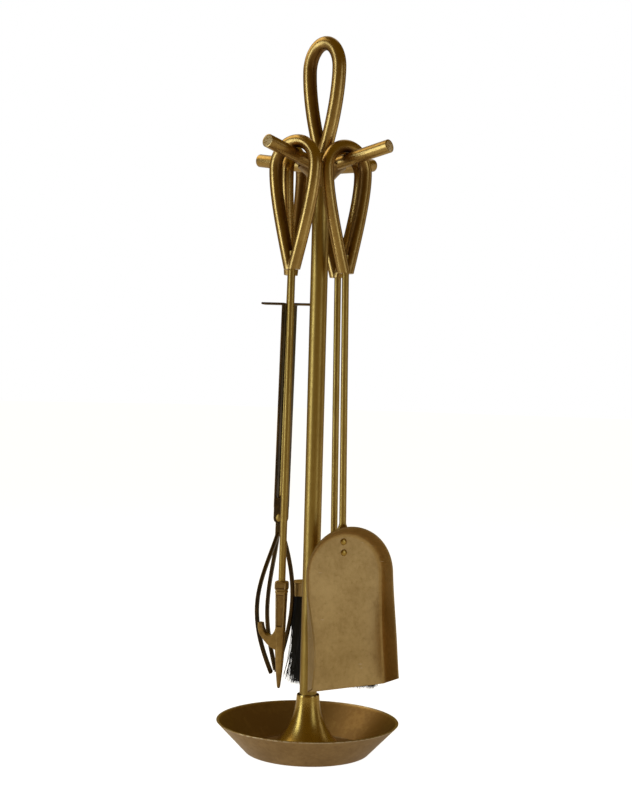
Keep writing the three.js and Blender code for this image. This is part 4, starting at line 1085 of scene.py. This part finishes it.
def tongs_arm(tab_side, face, tines):
    """A forged arm: finger tab, long strip, ear at the pivot, stem and tines."""
    def span(a, b):
        return (-b, -a) if tab_side < 0 else (a, b)
    half = ARM_WIDTH / 2
    inner, outer = ARM_OFFSET - ARM_THICKNESS / 2, ARM_OFFSET + ARM_THICKNESS / 2
    top = PIVOT + ARM_ABOVE
    near, far = (EAR_NEAR, EAR_NEAR + ARM_THICKNESS) if face > 0 else (-EAR_NEAR - ARM_THICKNESS, -EAR_NEAR)
    strip, tab = span(inner, outer), span(inner, outer + TAB_LENGTH)
    web, stem = span(-2, outer), span(-STEM_MIDDLE - 2.8, -STEM_MIDDLE + 2.8)
    disc = lathe([(0, near), (EAR_RADIUS, near), (EAR_RADIUS, far), (0, far)], 48)
    ear = moved(disc, Matrix.Translation((0, 0, PIVOT)) @ Matrix.Rotation(-math.pi / 2, 4, "X"))
    bodies = [
        box((strip[0], -half, PIVOT + EAR_RADIUS + 4), (strip[1], half, top)),
        box((tab[0], -half, top - ARM_THICKNESS), (tab[1], half, top)),
        box((web[0], near, PIVOT), (web[1], far, PIVOT + 22)),
        box((stem[0], near, PIVOT - STEM_LENGTH), (stem[1], far, PIVOT)),
        ear, *tines]
    return fused(joined(*bodies), 0.5, 4)


def tongs():
    place = hang_place(TONGS, TONGS["head"])
    add_piece("eyed_tongs_rod", tongs_eye_rod(), "tongs", SATIN, ["tongs_rod"], place)
    ear_middle = EAR_NEAR + ARM_THICKNESS / 2
    single = tongs_arm(-1, -1, [tine(1, -ear_middle, 15.4, 0.93, 0, 0)])
    fork = tongs_arm(1, 1, [tine(-1, ear_middle, 16.2, 1.14, side * 21.8, side * 8) for side in (-1, 1)])
    for name, arm in (("single", single), ("fork", fork)):
        add_piece("forged_" + name + "_arm", arm, "tongs_" + name + "_jaw", DARK,
                  ["tongs_" + name + "_arm", "tongs_" + name + "_claw"], place)
    stack = EAR_NEAR + ARM_THICKNESS + 0.3
    rivet = moved(rivet_dome(-stack, stack, 2.2, 4.4, 1.7), Matrix.Rotation(math.pi / 2, 4, "Z"))
    rivet = moved(rivet, Matrix.Translation((0, 0, PIVOT)))
    add_piece("domed_pivot_rivet", rivet, "tongs", SATIN, ["tongs_pivot_rivet"], place)


def hidden_fixings():
    for name in ("base_washer", "base_bolt", "pole_plug", "carry_loop_stud"):
        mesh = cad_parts[name].data
        mesh.materials.clear()
        mesh.materials.append(ZINC)


# ---- the studio: pale floor, white surround, soft lights ----
VIEW_HEADING = -50.8


def studio_floor():
    """A pale floor, shown almost white so that it runs into the surround without a line."""
    bpy.ops.mesh.primitive_plane_add(size=60, location=(0, 0, -0.0005))
    floor = bpy.context.object
    floor.name = "studio_floor"
    material, tree, shader = new_material("pale floor")
    shader.inputs["Base Color"].default_value = (0.62, 0.62, 0.61, 1)
    shader.inputs["Roughness"].default_value = 0.9
    shader.inputs["Specular IOR Level"].default_value = 0.0
    glow = tree.nodes.new("ShaderNodeEmission")
    glow.inputs["Strength"].default_value = 0.97
    path = tree.nodes.new("ShaderNodeLightPath")
    bounce = tree.nodes.new("ShaderNodeEmission")
    bounce.inputs["Color"].default_value = (1.0, 0.93, 0.8, 1)
    bounce.inputs["Strength"].default_value = 0.3
    seen = tree.nodes.new("ShaderNodeMixShader")
    tree.links.new(path.outputs["Is Camera Ray"], seen.inputs["Fac"])
    tree.links.new(bounce.outputs[0], seen.inputs[1])
    tree.links.new(glow.outputs[0], seen.inputs[2])
    both = tree.nodes.new("ShaderNodeAddShader")
    tree.links.new(shader.outputs[0], both.inputs[0])
    tree.links.new(seen.outputs[0], both.inputs[1])
    tree.links.new(both.outputs[0], tree.nodes["Material Output"].inputs["Surface"])
    floor.data.materials.append(material)


def surround():
    """White where it is seen directly, and a dim warm room to everything that it lights."""
    world = bpy.data.worlds.new("studio")
    bpy.context.scene.world = world
    world.use_nodes = True
    tree = world.node_tree
    seen = tree.nodes.new("ShaderNodeBackground")
    seen.inputs["Color"].default_value = (1, 1, 1, 1)
    seen.inputs["Strength"].default_value = 1.0
    room = tree.nodes["Background"]
    room.inputs["Color"].default_value = (1.0, 0.66, 0.08, 1)
    room.inputs["Strength"].default_value = 0.16
    path = tree.nodes.new("ShaderNodeLightPath")
    mix = tree.nodes.new("ShaderNodeMixShader")
    tree.links.new(path.outputs["Is Camera Ray"], mix.inputs["Fac"])
    tree.links.new(room.outputs[0], mix.inputs[1])
    tree.links.new(seen.outputs[0], mix.inputs[2])
    tree.links.new(mix.outputs[0], tree.nodes["World Output"].inputs["Surface"])


def soft_light(name, heading, distance, height, size, power, colour):
    """A soft box at a heading in degrees around the set, facing its axis."""
    light = bpy.data.lights.new(name, "AREA")
    light.shape = "RECTANGLE"
    light.size, light.size_y = size
    light.energy = power
    light.color = colour
    lamp = bpy.data.objects.new(name, light)
    angle = math.radians(heading)
    lamp.location = (distance * math.cos(angle), distance * math.sin(angle), height)
    lamp.rotation_euler = (Vector((0, 0, 0.4)) - lamp.location).to_track_quat("-Z", "Y").to_euler()
    bpy.context.scene.collection.objects.link(lamp)


def camera():
    """Level view from between the poker's and the shovel's pegs, with the set leaning a little."""
    heading, lean, distance, height = math.radians(VIEW_HEADING), math.radians(1.52), 1.53, 0.391
    back = Vector((math.cos(heading), math.sin(heading), 0))
    right = Vector((-back.y, back.x, 0))
    up = Vector((0, 0, 1))
    tilted_right = right * math.cos(lean) + up * math.sin(lean)
    tilted_up = up * math.cos(lean) - right * math.sin(lean)
    lens = bpy.data.cameras.new("view")
    lens.sensor_fit = "VERTICAL"
    lens.sensor_height = 24
    lens.lens = 42.32
    lens.clip_start = 0.05
    eye = bpy.data.objects.new("view", lens)
    turn = Matrix((tilted_right, tilted_up, back)).transposed().to_4x4()
    eye.matrix_world = Matrix.Translation(back * distance + up * height) @ turn
    bpy.context.scene.collection.objects.link(eye)
    bpy.context.scene.camera = eye


def studio():
    studio_floor()
    surround()
    for name, turn, distance, height, size, power, colour in (
            ("left box", -68, 1.9, 0.45, (0.7, 1.9), 17.0, (0.62, 0.77, 1.0)),
            ("front right box", 48, 2.3, 0.45, (0.9, 1.5), 6.2, (0.62, 0.76, 1.0)),
            ("right box", 103, 1.9, 0.5, (0.35, 1.7), 1.8, (0.7, 0.78, 1.0)),
            ("high left box", -115, 1.2, 1.7, (1.2, 1.2), 7.0, (1.0, 0.88, 0.62)),
            ("back fill", 180, 1.5, 2.3, (1.6, 1.0), 3.0, (0.9, 0.9, 0.9))):
        soft_light(name, VIEW_HEADING + turn, distance, height, size, power, colour)
    bpy.context.scene.view_settings.view_transform = "Standard"
    camera()


dish()
trumpet_foot()
tube_pole()
cast_hub()
pegs()
carry_loop()
loop_handles()
poker()
shovel()
brush()
tongs()
hidden_fixings()
studio()
